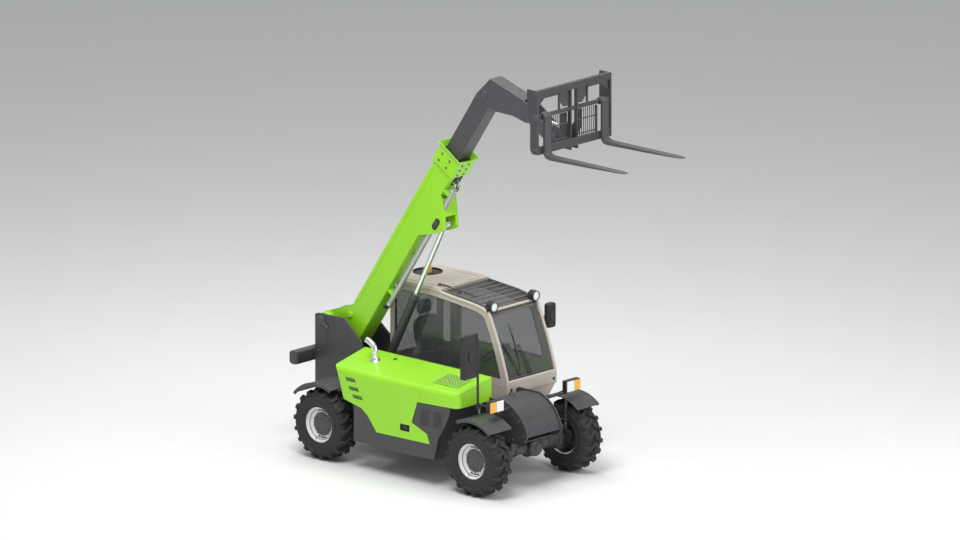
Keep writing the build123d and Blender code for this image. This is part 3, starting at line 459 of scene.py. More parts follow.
bolts = bmesh.new()
trim = bmesh.new()
for side in (-1, 1):
    y = boom_y + side * nose_out
    for turn, radius in ((66, 0.465), (38, 0.465), (16, 0.465), (82, 0.4)):
        add_bolt(bolts, round_y(nose_center, radius, turn, y), (0, side, 0), 0.01)
    for x in (2.12, 2.36, 2.56):
        add_bolt(bolts, at(x, y, 0.6), (0, side, 0), 0.01)
    y = boom_y + side * 0.29
    rim = [round_y(nose_center, 0.5125, 13 + 60 * k / 14, y) for k in range(15)]
    add_pipe(trim, [*rim, at(2.101, y, 1.0305)], 0.01, 8)
piece("nose_bolts", bolts, "chassis", bolt_steel, 0.0008)

low_y, high_y = nose_low.y + 0.004, nose_high.y - 0.004
seam = [round_y(nose_center, cover_radius, turn, y) for turn, y in
        ((40, low_y), (40, high_y), (40.9, high_y), (40.9, low_y))]
add_plate(trim, seam, round_y(Vector(), 0.005, 40, 0))
eye = [at(2.27 + 0.038 * cos(t), boom_y, 1.02 + 0.042 * sin(t)) for t in
       (radians(15 * k) for k in range(13))]
add_pipe(trim, eye, 0.008, 10)
piece("nose_trim", trim, "chassis", charcoal, 0.001)

# ---------------------------------------------------------------- axles
# Heavy steering axles front and back, cast and painted dark. Each has a bolted differential cover,
# turned rings along the beam, bolts by the king pins and a steering cylinder behind or before it.
chrome = worn_highlit_material("chromed_rod", (0.86, 0.87, 0.88), 0.16, metallic=0.9, mottle=0.04, dust=0.05,
                       grain_scale=900.0, grain_depth=0.03, slot="rod_chrome")
finish_nodes(charcoal, "front_axle", "rear_axle")
axle_z = 0.42
for name, axle_x, ahead in (("front", front_axle, 1), ("rear", rear_axle, -1)):
    housing = bmesh.new()
    for facing in (-1, 1):
        add_turned(housing, (axle_x + facing * 0.068, 0.085, axle_z), (facing, 0, 0),
                   ((0, 0.112), (0.04, 0.108), (0.062, 0.085), (0.07, 0.05), (0.082, 0.048)), 40)
    for k in range(10):
        turn = tau * k / 10
        add_bolt(housing, Vector((axle_x + ahead * 0.11, 0.085 + 0.094 * cos(turn),
                                  axle_z + 0.094 * sin(turn))), (ahead, 0, 0), 0.009)
    for side in (-1, 1):
        for out in (0.2, 0.34, 0.47):
            add_turned(housing, (axle_x, side * out, axle_z), (0, side, 0),
                       ((0, 0.076), (0.004, 0.086), (0.02, 0.086), (0.024, 0.076)), 32, ring=True)
        for lift in (-0.055, 0.055):
            add_bolt(housing, Vector((axle_x + ahead * 0.055, side * 0.525, axle_z + lift)), (ahead, 0, 0),
                     0.011)
    piece(f"{name}_axle_housing", housing, "chassis", charcoal)

    steering = bmesh.new()
    rods = bmesh.new()
    back = axle_x - ahead * 0.125
    add_turned(steering, (back, -0.2, axle_z + 0.02), (0, 1, 0),
               ((-0.004, 0.026), (0.01, 0.034), (0.385, 0.034), (0.4, 0.026)), 28)
    for side in (-1, 1):
        add_box(steering, Vector((axle_x - ahead * 0.095, side * 0.17, axle_z + 0.02)),
                (0.075, 0.03, 0.075))
        add_turned(steering, (back, side * 0.13, axle_z + 0.05), (0, 0, 1),
                   ((0, 0.01), (0.016, 0.01), (0.018, 0.014), (0.03, 0.014)), 6)
        add_turned(rods, (back, side * 0.195, axle_z + 0.02), (0, side, 0),
                   ((0, 0.014), (0.18, 0.014), (0.185, 0.01)), 20)
    piece(f"{name}_steering_cylinder", steering, "chassis", graphite)
    piece(f"{name}_steering_rods", rods, "chassis", chrome, 0.001)

# ---------------------------------------------------------------- knuckles and fenders
# Each fender rides on its knuckle, so it steers with the wheel. Its steel edge is rolled, bolts run
# across it near both ends, and the post under it is bolted to the knuckle.
edge_radius, flange_radius = 0.4965, 0.462    # the rolled edge, and how far in its flange reaches
for corner, side, start, end, strut in (("front_right", -1, 51, 115, 1), ("front_left", 1, 51, 115, 1),
                                        ("rear_right", -1, 65, 139, -1), ("rear_left", 1, 65, 139, -1)):
    middle = Vector(joints["spin_" + corner]["pos_m"])
    body = "knuckle_" + corner
    finish_nodes(charcoal, body)
    inner_y, outer_y = side * 0.566, side * 0.924
    turns = [start + (end - start) * k / 18 for k in range(19)]
    edge = bmesh.new()
    for y in (inner_y, outer_y):
        add_pipe(edge, [round_y(middle, edge_radius, turn, y) for turn in turns], 0.0075, 8)
    flange_y = side * 0.922
    for one, two in zip(turns, turns[1:]):
        corners = [round_y(middle, radius, turn, flange_y) for radius, turn in
                   ((edge_radius, one), (edge_radius, two), (flange_radius, two), (flange_radius, one))]
        add_plate(edge, corners, (0, side * 0.007, 0))
    for turn in (start, end):
        add_pipe(edge, [round_y(middle, edge_radius, turn, inner_y),
                        round_y(middle, edge_radius, turn, outer_y)], 0.0075, 8)
    piece(f"fender_edge_{corner}", edge, body, charcoal, 0)

    ribs = bmesh.new()
    for turn in (start + 14, end - 14):
        for y in (0.62, 0.74, 0.86):
            radial = round_y(Vector(), 1, turn, 0)
            add_bolt(ribs, round_y(middle, 0.4975, turn, side * y), radial, 0.007)
    for z in (0.6, 0.7, 0.8):
        add_bolt(ribs, Vector((middle.x + strut * 0.115, side * 0.585, z)), (strut, 0, 0), 0.008)
    add_turned(ribs, Vector((middle.x, side * 0.6, 0.575)), (0, 0, 1),
               ((-0.002, 0.03), (0.006, 0.03), (0.009, 0.024), (0.012, 0.008), (0.02, 0.006)), 24)
    piece(f"fender_bolts_{corner}", ribs, body, bolt_steel, 0.0006)

# ---------------------------------------------------------------- wheels
# Industrial tyres: a smooth bulging side wall and two rows of thick bars that lean into a V and run
# down over the shoulder. The steel rim is white with a stepped dish, and the hub drive is dark.
rubber = worn_highlit_material("tyre_rubber", (0.016, 0.016, 0.0165), 0.7, edge=(0.1, 0.1, 0.1), mottle=0.22,
                       edge_wear=0.6, dust=0.1, grain_scale=260.0, grain_depth=0.35, slot="tyre_rubber")
white_paint = worn_highlit_material("white_wheel_paint", (0.74, 0.74, 0.72), 0.32, mottle=0.06, edge_wear=0.2,
                            dust=0.15, slot="white_paint")
tyre_side = ((0.124, 0.211), (0.136, 0.216), (0.141, 0.226), (0.14, 0.234), (0.1465, 0.25), (0.1495, 0.275),
             (0.1495, 0.302), (0.1465, 0.33), (0.139, 0.354), (0.126, 0.371), (0.105, 0.381), (0.07, 0.386),
             (0.035, 0.388))
bar_line = ((-0.01, 0.6, 0.4195, 0.02), (0.014, 1.2, 0.42, 0.02), (0.036, 3.4, 0.42, 0.0195),
            (0.058, 7.2, 0.4195, 0.02), (0.084, 8.4, 0.418, 0.0215), (0.112, 8.8, 0.412, 0.0225),
            (0.133, 9.0, 0.398, 0.0215), (0.1455, 9.0, 0.376, 0.0205), (0.1497, 9.0, 0.356, 0.019))
bars_a_side = 18
tyre_radius = 0.42
rim_profile = ((0.11, 0.2095), (0.124, 0.2235), (0.1275, 0.2215), (0.1275, 0.2155), (0.121, 0.206),
               (0.112, 0.202), (0.1, 0.199), (0.094, 0.19), (0.092, 0.183), (0.086, 0.18),
               (0.076, 0.177), (0.066, 0.164), (0.06, 0.15), (0.059, 0.13), (0.049, 0.13),
               (0.05, 0.16), (0.03, 0.186), (-0.1, 0.193), (-0.121, 0.206), (-0.1275, 0.2155),
               (-0.1275, 0.2215), (-0.124, 0.2235), (-0.11, 0.2095))
barrel_shade_profile = ((-0.112, 0.1915), (0.028, 0.1842), (0.046, 0.158), (0.0475, 0.128), (0.047, 0.128),
                 (0.045, 0.157), (0.027, 0.183), (-0.112, 0.19))
hub_profile = ((-0.066, 0.075), (0.02, 0.078), (0.03, 0.136), (0.066, 0.136), (0.072, 0.132),
               (0.074, 0.122), (0.0715, 0.116), (0.0715, 0.066), (0.078, 0.062), (0.08, 0.054),
               (0.079, 0.03), (0.084, 0.026), (0.085, 0.01))


def on_wheel(middle, side, out, radius, degrees_round):
    turn = radians(degrees_round)
    return middle + Vector((radius * sin(turn), side * out, radius * cos(turn)))


def add_tread_bar(mesh, middle, side, turn):
    """One bar: a row of four-sided sections from the tread's middle out and down the shoulder."""
    rows = []
    for out, lead, radius, half in bar_line:
        base = min(radius - 0.006, 0.383 if out < 0.1 else 0.383 - (out - 0.1) * 0.62)
        spread = degrees(half / tyre_radius)
        deep = out - 0.01 if out > 0.14 else out
        rows.append([on_wheel(middle, side, o, r, turn + lead + s * spread)
                     for o, r, s in ((deep, base, -1.25), (out, radius, -1), (out, radius, 1),
                                     (deep, base, 1.25))])
    add_skin(mesh, rows)


for corner, side in (("front_right", -1), ("front_left", 1), ("rear_right", -1), ("rear_left", 1)):
    body = "wheel_" + corner
    finish_nodes(rubber, "tyre_" + corner)
    finish_nodes(white_paint, "rim_" + corner)
    low, high = box_of("tyre_" + corner)
    middle = (low + high) / 2
    out_dir = (0, side, 0)

    tyre = bmesh.new()
    loop = [*tyre_side, (0, 0.3885), *[(-y, r) for y, r in tyre_side[::-1]]]
    add_turned(tyre, middle, out_dir, loop, 96, ring=True)
    for flank in (-1, 1):
        for out, radius, height in ((0.1445, 0.2455, 0.0037), (0.1475, 0.322, 0.0035)):
            add_turned(tyre, middle, (0, side * flank, 0),
                       ((out, radius - 0.004), (out + height, radius - 0.002),
                        (out + height, radius + 0.002), (out, radius + 0.004)), 96, ring=True)
    carcass = piece(f"tyre_carcass_{corner}", tyre, body, rubber, 0)
    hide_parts("tyre_" + corner)

    tread = bmesh.new()
    for flank in (-1, 1):
        for k in range(bars_a_side):
            add_tread_bar(tread, middle, side * flank, 360 / bars_a_side * (k + 0.25 * flank))
    piece(f"tyre_tread_{corner}", tread, body, rubber, 0.004)

    rim = bmesh.new()
    add_turned(rim, middle, out_dir, rim_profile, 72, ring=True)
    dish = piece(f"rim_dish_{corner}", rim, body, white_paint, 0)
    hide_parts("rim_" + corner)

    # Dark rings laid in the rim's two creases are painted shade.
    groove_shade = bmesh.new()
    for out, radius, half in ((0.1265, 0.2105, 0.0035), (0.0905, 0.1815, 0.006)):
        add_turned(groove_shade, middle, out_dir,
                   ((out - 0.003, radius - half), (out + 0.0012, radius - half + 0.0005),
                    (out + 0.0012, radius + half - 0.0005), (out - 0.003, radius + half)), 72, ring=True)
    piece(f"rim_groove_shade_{corner}", groove_shade, body, graphite, 0)

    # A dark skin over the inner face of the rim's barrel and dish is painted shade.
    barrel_shade = bmesh.new()
    add_turned(barrel_shade, middle, out_dir, barrel_shade_profile, 72, ring=True)
    piece(f"rim_barrel_shade_{corner}", barrel_shade, body, charcoal, 0)

    hub = bmesh.new()
    add_turned(hub, middle, out_dir, hub_profile, 64)
    for k in range(3):
        plug = on_wheel(middle, side, 0.0715, 0.04, 120 * k + 30)
        add_turned(hub, plug, out_dir, ((0, 0.007), (0.012, 0.007), (0.014, 0.005)), 6)
    piece(f"hub_drive_{corner}", hub, body, graphite, 0.001)

    # The rim's holes and slots are drawn as black discs and bars: painted shade in the openings.
    nuts = bmesh.new()
    slot_shade = bmesh.new()
    for k in range(10):
        add_bolt(nuts, on_wheel(middle, side, 0.0735, 0.1015, 36 * k + 18), out_dir, 0.0085)
        add_turned(slot_shade, on_wheel(middle, side, 0.056, 0.1455, 36 * k), out_dir,
                   ((0, 0.0075), (0.0045, 0.0075), (0.005, 0.006)), 20)
    for turn in (-17, 0, 17, 163, 180, 197):
        add_box(slot_shade, on_wheel(middle, side, 0.069, 0.16, turn), (0.036, 0.008, 0.011), turned_y(turn))
    valve_way = on_wheel(middle, side, 0.1, 0.1, 200) - on_wheel(middle, side, 0.085, 0.14, 200)
    add_turned(nuts, on_wheel(middle, side, 0.1, 0.1935, 200), valve_way,
               ((0, 0.004), (0.02, 0.004), (0.021, 0.006), (0.034, 0.006)), 12)
    piece(f"wheel_nuts_{corner}", nuts, body, bolt_steel, 0.0006)
    piece(f"wheel_slot_shade_{corner}", slot_shade, body, black_plastic, 0.001)

# ---------------------------------------------------------------- engine bay
# A dark steel skirt under the hood with two columns of louvres in front; black slats in their openings
# and a dark plate behind each column are painted shade.
# Folded seams run along it, and a ribbed belly plate closes it below.
finish_nodes(charcoal, "engine_bay", "engine_block")
bay_side = box_of("engine_bay")[0].y
bay_front = 1.83                   # where the skirt's front edge starts to lean


def oblong(x0, x1, z0, z1):
    return (x0, z0), (x1, z0), (x1, z1), (x0, z1)


# Black slats in the louvre openings and a dark plate behind each column are painted shade.
louvre_shade = bmesh.new()
for column in (-0.19, 0.01):
    for k in range(9):
        z = 0.905 - 0.022 * k
        x = bay_front + column - 0.16 * (0.905 - z)
        shade_slat = oblong(x - 0.003, x + 0.133, z - 0.001, z + 0.012)
        add_plate(louvre_shade, on_side(bay_side, shade_slat), (0, -0.0008, 0))
    add_box(louvre_shade, at(bay_front + column + 0.05, bay_side + 0.0215, 0.815), (0.175, 0.009, 0.25))
piece("louvre_shade_plates", louvre_shade, "chassis", black_plastic, 0.0005)

skirt = bmesh.new()
for seam in (((0.573, 0.47), (0.9, 0.452), (bay_front + 0.02, 0.452), (bay_front + 0.02, 0.446),
              (0.9, 0.446), (0.573, 0.464)),
             ((bay_front - 0.02, 0.35), (bay_front - 0.014, 0.35), (bay_front + 0.155, 0.93),
              (bay_front + 0.149, 0.93))):
    add_plate(skirt, on_side(bay_side, seam), (0, -0.0025, 0))
for x in (0.62, 1.02, 1.42, 1.8):
    add_bolt(skirt, at(x, bay_side, 0.375), (0, -1, 0), 0.008)
piece("skirt_seams", skirt, "chassis", charcoal, 0.0008)

step = bmesh.new()
add_plate(step, on_side(bay_side + 0.012, oblong(0.6, bay_front - 0.01, 0.332, 0.338)), (0, 0.56, 0))
for k in range(9):
    add_box(step, at(0.7 + 0.13 * k, bay_side + 0.28, 0.33), (0.01, 0.5, 0.012))
piece("belly_plate", step, "chassis", charcoal)

# ---------------------------------------------------------------- hood
# A one-piece lime cover with soft shoulders. A rubber seal follows its lower edge, the latch sits in
# a recess, and a chromed elbow stands on a bolted flange on top.
lime = worn_highlit_material("lime_paint", (0.295, 0.68, 0.018), 0.3, edge=(0.62, 0.86, 0.25), mottle=0.05,
                     edge_wear=0.45, dust=0.06, slot="green_paint")
bright_metal = worn_highlit_material("bright_steel", (0.74, 0.74, 0.73), 0.22, metallic=0.85, mottle=0.1, dust=0.1,
                             slot="bright_metal")
finish_nodes(lime, "hood", "hood_grille")
finish_nodes(bright_metal, "exhaust")
finish_nodes(black_plastic, "hood_latch")
hood_side = box_of("hood")[0].y
seal = bmesh.new()
hood_edge = ((0.44, 0.812), (0.692, 0.744), (0.793, 0.672), (0.932, 0.5), (1.762, 0.51), (1.722, 0.627),
             (1.482, 0.722), (1.573, 0.978), (1.78, 0.988), (2.135, 1.003))
add_pipe(seal, on_side(hood_side + 0.007, hood_edge), 0.0055, 8)
piece("hood_seal", seal, "hood", black_plastic, 0)

top_y, top_z = -0.92, 1.178        # the hood top's outer edge, from which it rises inward
slope = atan((1.284 - top_z) / (0.92 - 0.345))
hood_up = Vector((0, -sin(slope), cos(slope)))
foot = at(0.614, -0.6, top_z + tan(slope) * (-0.6 - top_y))
flange = bmesh.new()
across = hood_up.orthogonal().normalized()
for k in range(4):
    turn = tau * (k + 0.5) / 4
    spread = (across * cos(turn) + hood_up.cross(across) * sin(turn)) * 0.05
    add_bolt(flange, foot + spread + hood_up * 0.01, hood_up, 0.006)
piece("exhaust_flange_bolts", flange, "hood", bolt_steel, 0.0005, slot="bright_metal")
cap = bmesh.new()
add_turned(cap, at(0.8, -0.46, top_z + tan(slope) * (-0.46 - top_y)), hood_up,
           ((-0.004, 0.024), (0.004, 0.024), (0.007, 0.02), (0.007, 0.009), (0.003, 0.007)), 32)
piece("hood_grommet", cap, "hood", black_plastic, 0.0008)

latch_low, latch_high = box_of("hood_latch")
latch_x = (latch_low.x + latch_high.x) / 2
latch = bmesh.new()
latch_frame = [Vector((latch_x + sx * 0.07, hood_side + 0.004, 0.64 + sz * 0.036))
               for sx, sz in four_corners]
add_pipe(latch, latch_frame, 0.0045, 8, closed=True)
add_box(latch, Vector((latch_x, hood_side + 0.006, 0.648)), (0.06, 0.008, 0.016))
add_turned(latch, Vector((latch_x + 0.042, hood_side + 0.006, 0.64)), (0, -1, 0),
           ((-0.004, 0.009), (0.002, 0.009), (0.003, 0.007)), 20)
piece("hood_latch_paddle", latch, "hood", black_plastic, 0.001)

mesh_low, mesh_high = box_of("hood_grille")
mesh_middle = (mesh_low + mesh_high) / 2
along_y = Vector((0, cos(slope), sin(slope)))
shade_plate = bmesh.new()
add_box(shade_plate, mesh_middle + hood_up * 0.0035, (0.372, 0.262, 0.003), Matrix.Rotation(slope, 4, "X"))
piece("grille_shade_plate", shade_plate, "hood", black_plastic, 0)


def on_grille(x, y):
    return mesh_middle + Vector((x, 0, 0)) + along_y * y + hood_up * 0.006


grille_x, grille_y = 0.19, 0.133   # the grille's half sizes, where its bars are cut
lattice = bmesh.new()
for lean in (-0.9, 0.9):
    for k in range(-7, 8):
        offset = k * 0.044
        crossings = sorted(((-grille_y - offset) / lean, (grille_y - offset) / lean))
        start, stop = max(-grille_x, crossings[0]), min(grille_x, crossings[1])
        if stop - start > 0.01:
            add_pipe(lattice, [on_grille(x, lean * x + offset) for x in (start, stop)], 0.0044, 8)
rim_corners = [on_grille(sx * grille_x, sy * (grille_y + 0.001)) for sx, sy in four_corners]
add_pipe(lattice, rim_corners, 0.006, 8, closed=True)
grille = piece("hood_grille_lattice", lattice, "hood", lime, 0)
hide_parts("hood_grille")

# Black dashes in the vent slots and a dark plate behind each group are painted shade in the openings.
vent_shade = bmesh.new()
for group_x, group_z in ((0.44, 1.075), (0.49, 0.975), (0.55, 0.885)):
    for k in range(8):
        for row in (0, 1):
            x = group_x + 0.0185 * k + 0.0125 * row
            z = group_z + 0.004 - 0.0225 * row
            cut = ((x, z), (x + 0.0135, z), (x + 0.0245, z - 0.019), (x + 0.011, z - 0.019))
            add_plate(vent_shade, on_side(hood_side - 0.0012, cut), (0, 0.0036, 0))
    shade_backing = oblong(group_x - 0.01, group_x + 0.2, group_z - 0.045, group_z + 0.01)
    add_plate(vent_shade, on_side(hood_side + 0.0155, shade_backing), (0, 0.003, 0))
piece("hood_vent_shade_plates", vent_shade, "hood", black_plastic, 0)

stack = bmesh.new()
bend = smooth_line([foot + Vector((x, 0, z))
                    for x, z in ((0, 0.02), (0, 0.07), (-0.003, 0.125), (-0.03, 0.178), (-0.075, 0.207),
                                 (-0.125, 0.228))], 8)
add_pipe(stack, bend, 0.035, 32)
add_turned(stack, foot, hood_up, ((0.008, 0.06), (0.012, 0.058), (0.02, 0.046), (0.034, 0.038),
                                  (0.05, 0.034), (0.06, 0.0315)), 48)
add_turned(stack, foot, hood_up, ((-0.002, 0.064), (0.006, 0.064), (0.009, 0.06)), 48)
outlet_way = (bend[-1] - bend[-2]).normalized()
add_turned(stack, bend[-1], outlet_way, ((-0.004, 0.035), (0, 0.0375), (0.006, 0.0375), (0.008, 0.0355),
                                         (0.008, 0.031), (-0.004, 0.031)), 32, ring=True)
elbow = piece("exhaust_elbow", stack, "hood", bright_metal, 0)
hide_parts("exhaust")
# A black disc just inside the outlet stands for the pipe's dark inside: painted shade.
mouth_shade_disc = bmesh.new()
add_turned(mouth_shade_disc, bend[-1], outlet_way, ((0.0005, 0.0305), (0.0015, 0.0305)), 32)
piece("exhaust_mouth_shade", mouth_shade_disc, "hood", black_plastic, 0)

# ---------------------------------------------------------------- tank side
# The left skirt holds the fuel tank, welded from dark plate. It has two recessed steps with grip
# treads, a moulded filler cap and three bolted straps.
finish_nodes(charcoal, "left_tank")
tank_side = box_of("left_tank")[1].y
treads = bmesh.new()
for z, depth in ((0.366, 0.2), (0.491, 0.15)):
    for k in range(11):
        add_box(treads, at(1.215 + 0.039 * k, tank_side - depth / 2, z + 0.003),
                (0.014, depth - 0.03, 0.01))
    add_plate(treads, on_side(tank_side - 0.004, oblong(1.185, 1.635, z - 0.02, z)), (0, 0.006, 0))
piece("step_treads", treads, "chassis", graphite)
filler = bmesh.new()
cap = at(0.8, tank_side, 0.505)
add_turned(filler, cap, (0, 1, 0), ((-0.002, 0.058), (0.006, 0.058), (0.008, 0.046), (0.022, 0.044),
                                    (0.028, 0.038), (0.028, 0.012)), 40)
for k in range(10):
    add_box(filler, round_y(cap, 0.044, 36 * k, tank_side + 0.015), (0.007, 0.014, 0.007))
add_box(filler, cap + Vector((0, 0.03, 0)), (0.06, 0.008, 0.012))
piece("tank_filler_cap", filler, "chassis", black_plastic)
straps = bmesh.new()
for x in (0.66, 1.08, 1.74):
    add_plate(straps, on_side(tank_side, oblong(x - 0.02, x + 0.02, 0.345, 0.592)), (0, 0.004, 0))
    for z in (0.37, 0.57):
        add_bolt(straps, at(x, tank_side + 0.003, z), (0, 1, 0), 0.008)
piece("tank_straps", straps, "chassis", charcoal)

# ---------------------------------------------------------------- cab shell
# A taupe welded frame with rounded tube pillars that carry dark bonded glass. Each pane sits in a
# black rubber seal, and the folded front panel has a pressed crease and rubber grommets.
taupe = worn_highlit_material("taupe_paint", (0.52, 0.462, 0.4), 0.38, mottle=0.06, edge_wear=0.35, dust=0.1,
                      slot="beige_paint")
cab_glass_finish = clear_material("tinted_glass", (0.105, 0.111, 0.112), 0.03, 0.58)
finish_nodes(taupe, "cab_frame", "cab_front_panel")
finish_nodes(cab_glass_finish, "cab_glass")
right_y, left_y = box_of("cab_frame")[0].y, 0.905
screen = ((1.77, 1.865), (1.848, 1.7), (1.93, 1.5), (1.998, 1.3), (2.05, 1.12))
roof = ((1.25, 1.97), (1.5, 1.946), (1.66, 1.92))
window = ((0.29, 1.13), (0.29, 1.915), (0.86, 1.935), (1.24, 1.905), (1.575, 1.865), (1.655, 1.842),
          (1.7, 1.81), (1.78, 1.65), (1.853, 1.46), (1.912, 1.29), (1.958, 1.13))


def add_seal(mesh, outline, y, radius):
    """A rubber bead round a flat outline, with its corners softened."""
    points = []
    for k, corner in enumerate(outline):
        here = Vector(corner)
        for other in (Vector(outline[k - 1]), Vector(outline[(k + 1) % len(outline)])):
            reach = min(0.03, (other - here).length * 0.3)
            points.append(here + (other - here).normalized() * reach)
    add_pipe(mesh, on_side(y, points), radius, 8, closed=True)


def add_cross_bar(mesh, x, z, inset, radius, sides=8):
    """A straight bar from one side of the cab to the other."""
    add_pipe(mesh, [at(x, right_y + inset, z), at(x, left_y - inset, z)], radius, sides)


seals = bmesh.new()
for y in (right_y + 0.012, right_y + 0.026):
    add_seal(seals, window, y, 0.009)
add_seal(seals, ((0.29, 1.13), (0.29, 1.915), (0.43, 1.92), (0.43, 1.13)), left_y - 0.019, 0.01)
for y in (right_y + 0.006, left_y - 0.006):
    add_hose(seals, on_side(y, [(x + 0.002, z) for x, z in screen]), 0.0075, 8, 3)
add_cross_bar(seals, 2.046, 1.122, 0.008, 0.009)
add_cross_bar(seals, 1.768, 1.868, 0.008, 0.006)
piece("window_seals", seals, "chassis", black_plastic, 0)

pillars = bmesh.new()
pillar_line = ((0.1, 1.985), (0.26, 2.004), (0.86, 2.014), (1.0, 2.004),
               *[(x, z + 0.004) for x, z in roof], (1.722, 1.897), *screen, (2.052, 0.965))
for y, inward in ((right_y, 1), (left_y, -1)):
    line = smooth_line(on_side(y, pillar_line), 4)
    add_pipe(pillars, [p + Vector((0, inward * 0.012, -0.012)) for p in line], 0.021, 14)
add_cross_bar(pillars, 1.748, 1.888, 0.02, 0.016, 12)
piece("cab_pillar_tubes", pillars, "chassis", taupe, 0)

shell = bmesh.new()
for x, z in ((0.3, 1.0), (0.3, 1.08), (0.52, 0.99), (1.95, 1.05)):
    add_bolt(shell, at(x, right_y, z), (0, -1, 0), 0.008)
for z in (1.052, 1.512):
    for x in (0.474, 0.496):
        add_bolt(shell, at(x, left_y + 0.015, z), (0, 1, 0), 0.005)
piece("cab_shell_bolts", shell, "chassis", taupe, 0.0006)

panel_low, panel_high = box_of("cab_front_panel")
panel = bmesh.new()
for y in (panel_low.y + 0.055, panel_high.y - 0.055):
    add_turned(panel, (panel_high.x - 0.001, y, 1.01), (1, 0, 0),
               ((0, 0.019), (0.004, 0.019), (0.006, 0.015), (0.006, 0.007)), 24)
add_turned(panel, (panel_high.x - 0.02, panel_low.y + 0.33, 0.948), (1, 0, 0),
           ((0, 0.022), (0.012, 0.022), (0.016, 0.017)), 24)
piece("front_panel_grommets", panel, "chassis", black_plastic, 0.0008)
crease = bmesh.new()
add_hose(crease, [(panel_high.x - 0.002, y, z) for y, z in
                  ((panel_low.y + 0.06, 1.082), ((panel_low.y + panel_high.y) / 2, 1.09),
                   (panel_high.y - 0.06, 1.082))], 0.0045)
piece("front_panel_crease", crease, "chassis", taupe, 0)

# ---------------------------------------------------------------- wipers
# Black arms rest on the windscreen and one on the roof pane: pivot, bent arm, and a thin rubber
# blade on a saddle.
def on_screen(x, y, off):
    """A point on the windscreen's outside, by its distance forward."""
    for (x0, z0), (x1, z1) in zip(screen, screen[1:]):
        if x <= x1 or (x1, z1) == screen[-1]:
            out = Vector((z0 - z1, 0, x1 - x0)).normalized()
            return at(x, y, z0 + (z1 - z0) * (x - x0) / (x1 - x0)) + out * (off + 0.005)


wipers = bmesh.new()
for foot_y, tip_y, tip_x in ((0.29, 0.12, 1.915), (0.44, 0.345, 1.935), (0.48, 0.372, 1.935)):
    base = on_screen(2.04, foot_y, 0.012)
    tip = on_screen(tip_x, tip_y, 0.024)
    add_turned(wipers, base - Vector((0.016, 0, 0)), (1, 0, 0.3),
               ((0, 0.014), (0.02, 0.014), (0.026, 0.01)), 20)
    add_hose(wipers, [base, base * 0.6 + tip * 0.4 + Vector((0.018, 0, 0)), tip], 0.0055)
for low_x, high_x, y0, y1 in ((2.005, 1.885, 0.225, 0.105), (2.028, 1.84, 0.322, 0.322)):
    blade = [on_screen(low_x + (high_x - low_x) * k / 8, y0 + (y1 - y0) * k / 8, 0.008) for k in range(9)]
    add_pipe(wipers, blade, 0.005, 6)
    add_pipe(wipers, [p + Vector((0.01, 0, 0.004)) for p in blade[2:7]], 0.004, 6)
add_pipe(wipers, [at(0.89, 0.19, 2.052), at(1.0, 0.2, 2.045), at(1.06, 0.203, 2.038)], 0.009, 8)
add_turned(wipers, at(0.89, 0.19, 2.028), (0, 0, 1), ((0, 0.02), (0.022, 0.018), (0.028, 0.012)), 20)
add_pipe(wipers, [at(1.08, 0.205, 2.028), at(1.25, 0.216, 2.012), at(1.44, 0.228, 1.99)], 0.007, 8)
piece("wipers", wipers, "chassis", black_plastic, 0)

# ---------------------------------------------------------------- roof
# The moulded roof has a pressed panel, a round dark dish for the beacon, and steel bars over the
# pane in front of it.
guard_coat = worn_highlit_material("guard_coat", (0.15, 0.15, 0.148), 0.4, mottle=0.08, edge_wear=0.3, dust=0.1)
amber_lens = clear_material("amber_lens", (0.9, 0.46, 0.05), 0.1, 0.06, "lamp_amber")
finish_nodes(taupe, "cab_roof")
finish_nodes(guard_coat, "roof_guard")
finish_nodes(amber_lens, "amber_lenses")
beacon = at(0.34, 0.583, 2.012)
dish = bmesh.new()
add_turned(dish, beacon, (0, 0, 1),
           ((0.0005, 0.163), (0.024, 0.166), (0.026, 0.172), (0.023, 0.176), (0, 0.164)), 64, ring=True)
add_turned(dish, beacon, (0, 0, 1),
           ((0, 0.163), (0.002, 0.163), (0.003, 0.07), (0.012, 0.062), (0.014, 0.056)), 64)
for k in range(3):
    turn = tau * k / 3
    add_bolt(dish, beacon + Vector((0.085 * cos(turn), 0.085 * sin(turn), 0.003)), (0, 0, 1), 0.006)
piece("beacon_dish", dish, "chassis", black_plastic, 0.0008)
light = bmesh.new()
add_turned(light, beacon + Vector((0, 0, 0.012)), (0, 0, 1),
           ((0, 0.046), (0.05, 0.044), (0.066, 0.038), (0.076, 0.026), (0.0815, 0.01)), 40)
for z in (0.024, 0.036, 0.048, 0.06):
    add_turned(light, beacon + Vector((0, 0, z)), (0, 0, 1),
               ((0, 0.0455), (0.003, 0.0475), (0.006, 0.0455)), 40)
piece("beacon_lens_rings", light, "chassis", amber_lens, 0)

pressing = bmesh.new()
for ridge in (((0.3, 0.16, 2.029), (0.86, 0.16, 2.0375), (0.95, 0.2, 2.032), (0.95, 0.38, 2.032)),
              ((0.56, 0.8, 2.031), (0.86, 0.82, 2.0375), (0.95, 0.78, 2.032), (0.95, 0.6, 2.032))):
    add_hose(pressing, [at(*p) for p in ridge], 0.0035, 6, 4)
for y in (right_y + 0.045, left_y - 0.045):
    for x, z in ((1.055, 2.02), (1.655, 1.951)):
        add_bolt(pressing, at(x, y, z), (0.1, 0, 1), 0.007)
piece("roof_pressings", pressing, "chassis", taupe, 0)

# ---------------------------------------------------------------- seat and controls
# A suspension seat with crowned cushions, side bolsters and sewn channels stands on a bellows. In
# front are a leaning column with a padded wheel, two levers, pedals and a display pod.
seat_cloth = worn_highlit_material("seat_cloth", (0.03, 0.031, 0.034), 0.85, mottle=0.3, edge_wear=0.2, dust=0.1,
                           grain_scale=700.0, grain_depth=0.7, slot="seat_fabric")
finish_nodes(seat_cloth, "seat")
finish_nodes(black_plastic, "cab_floor", "dash")
seat_y = 0.49                      # the middle of the seat and of the steering column


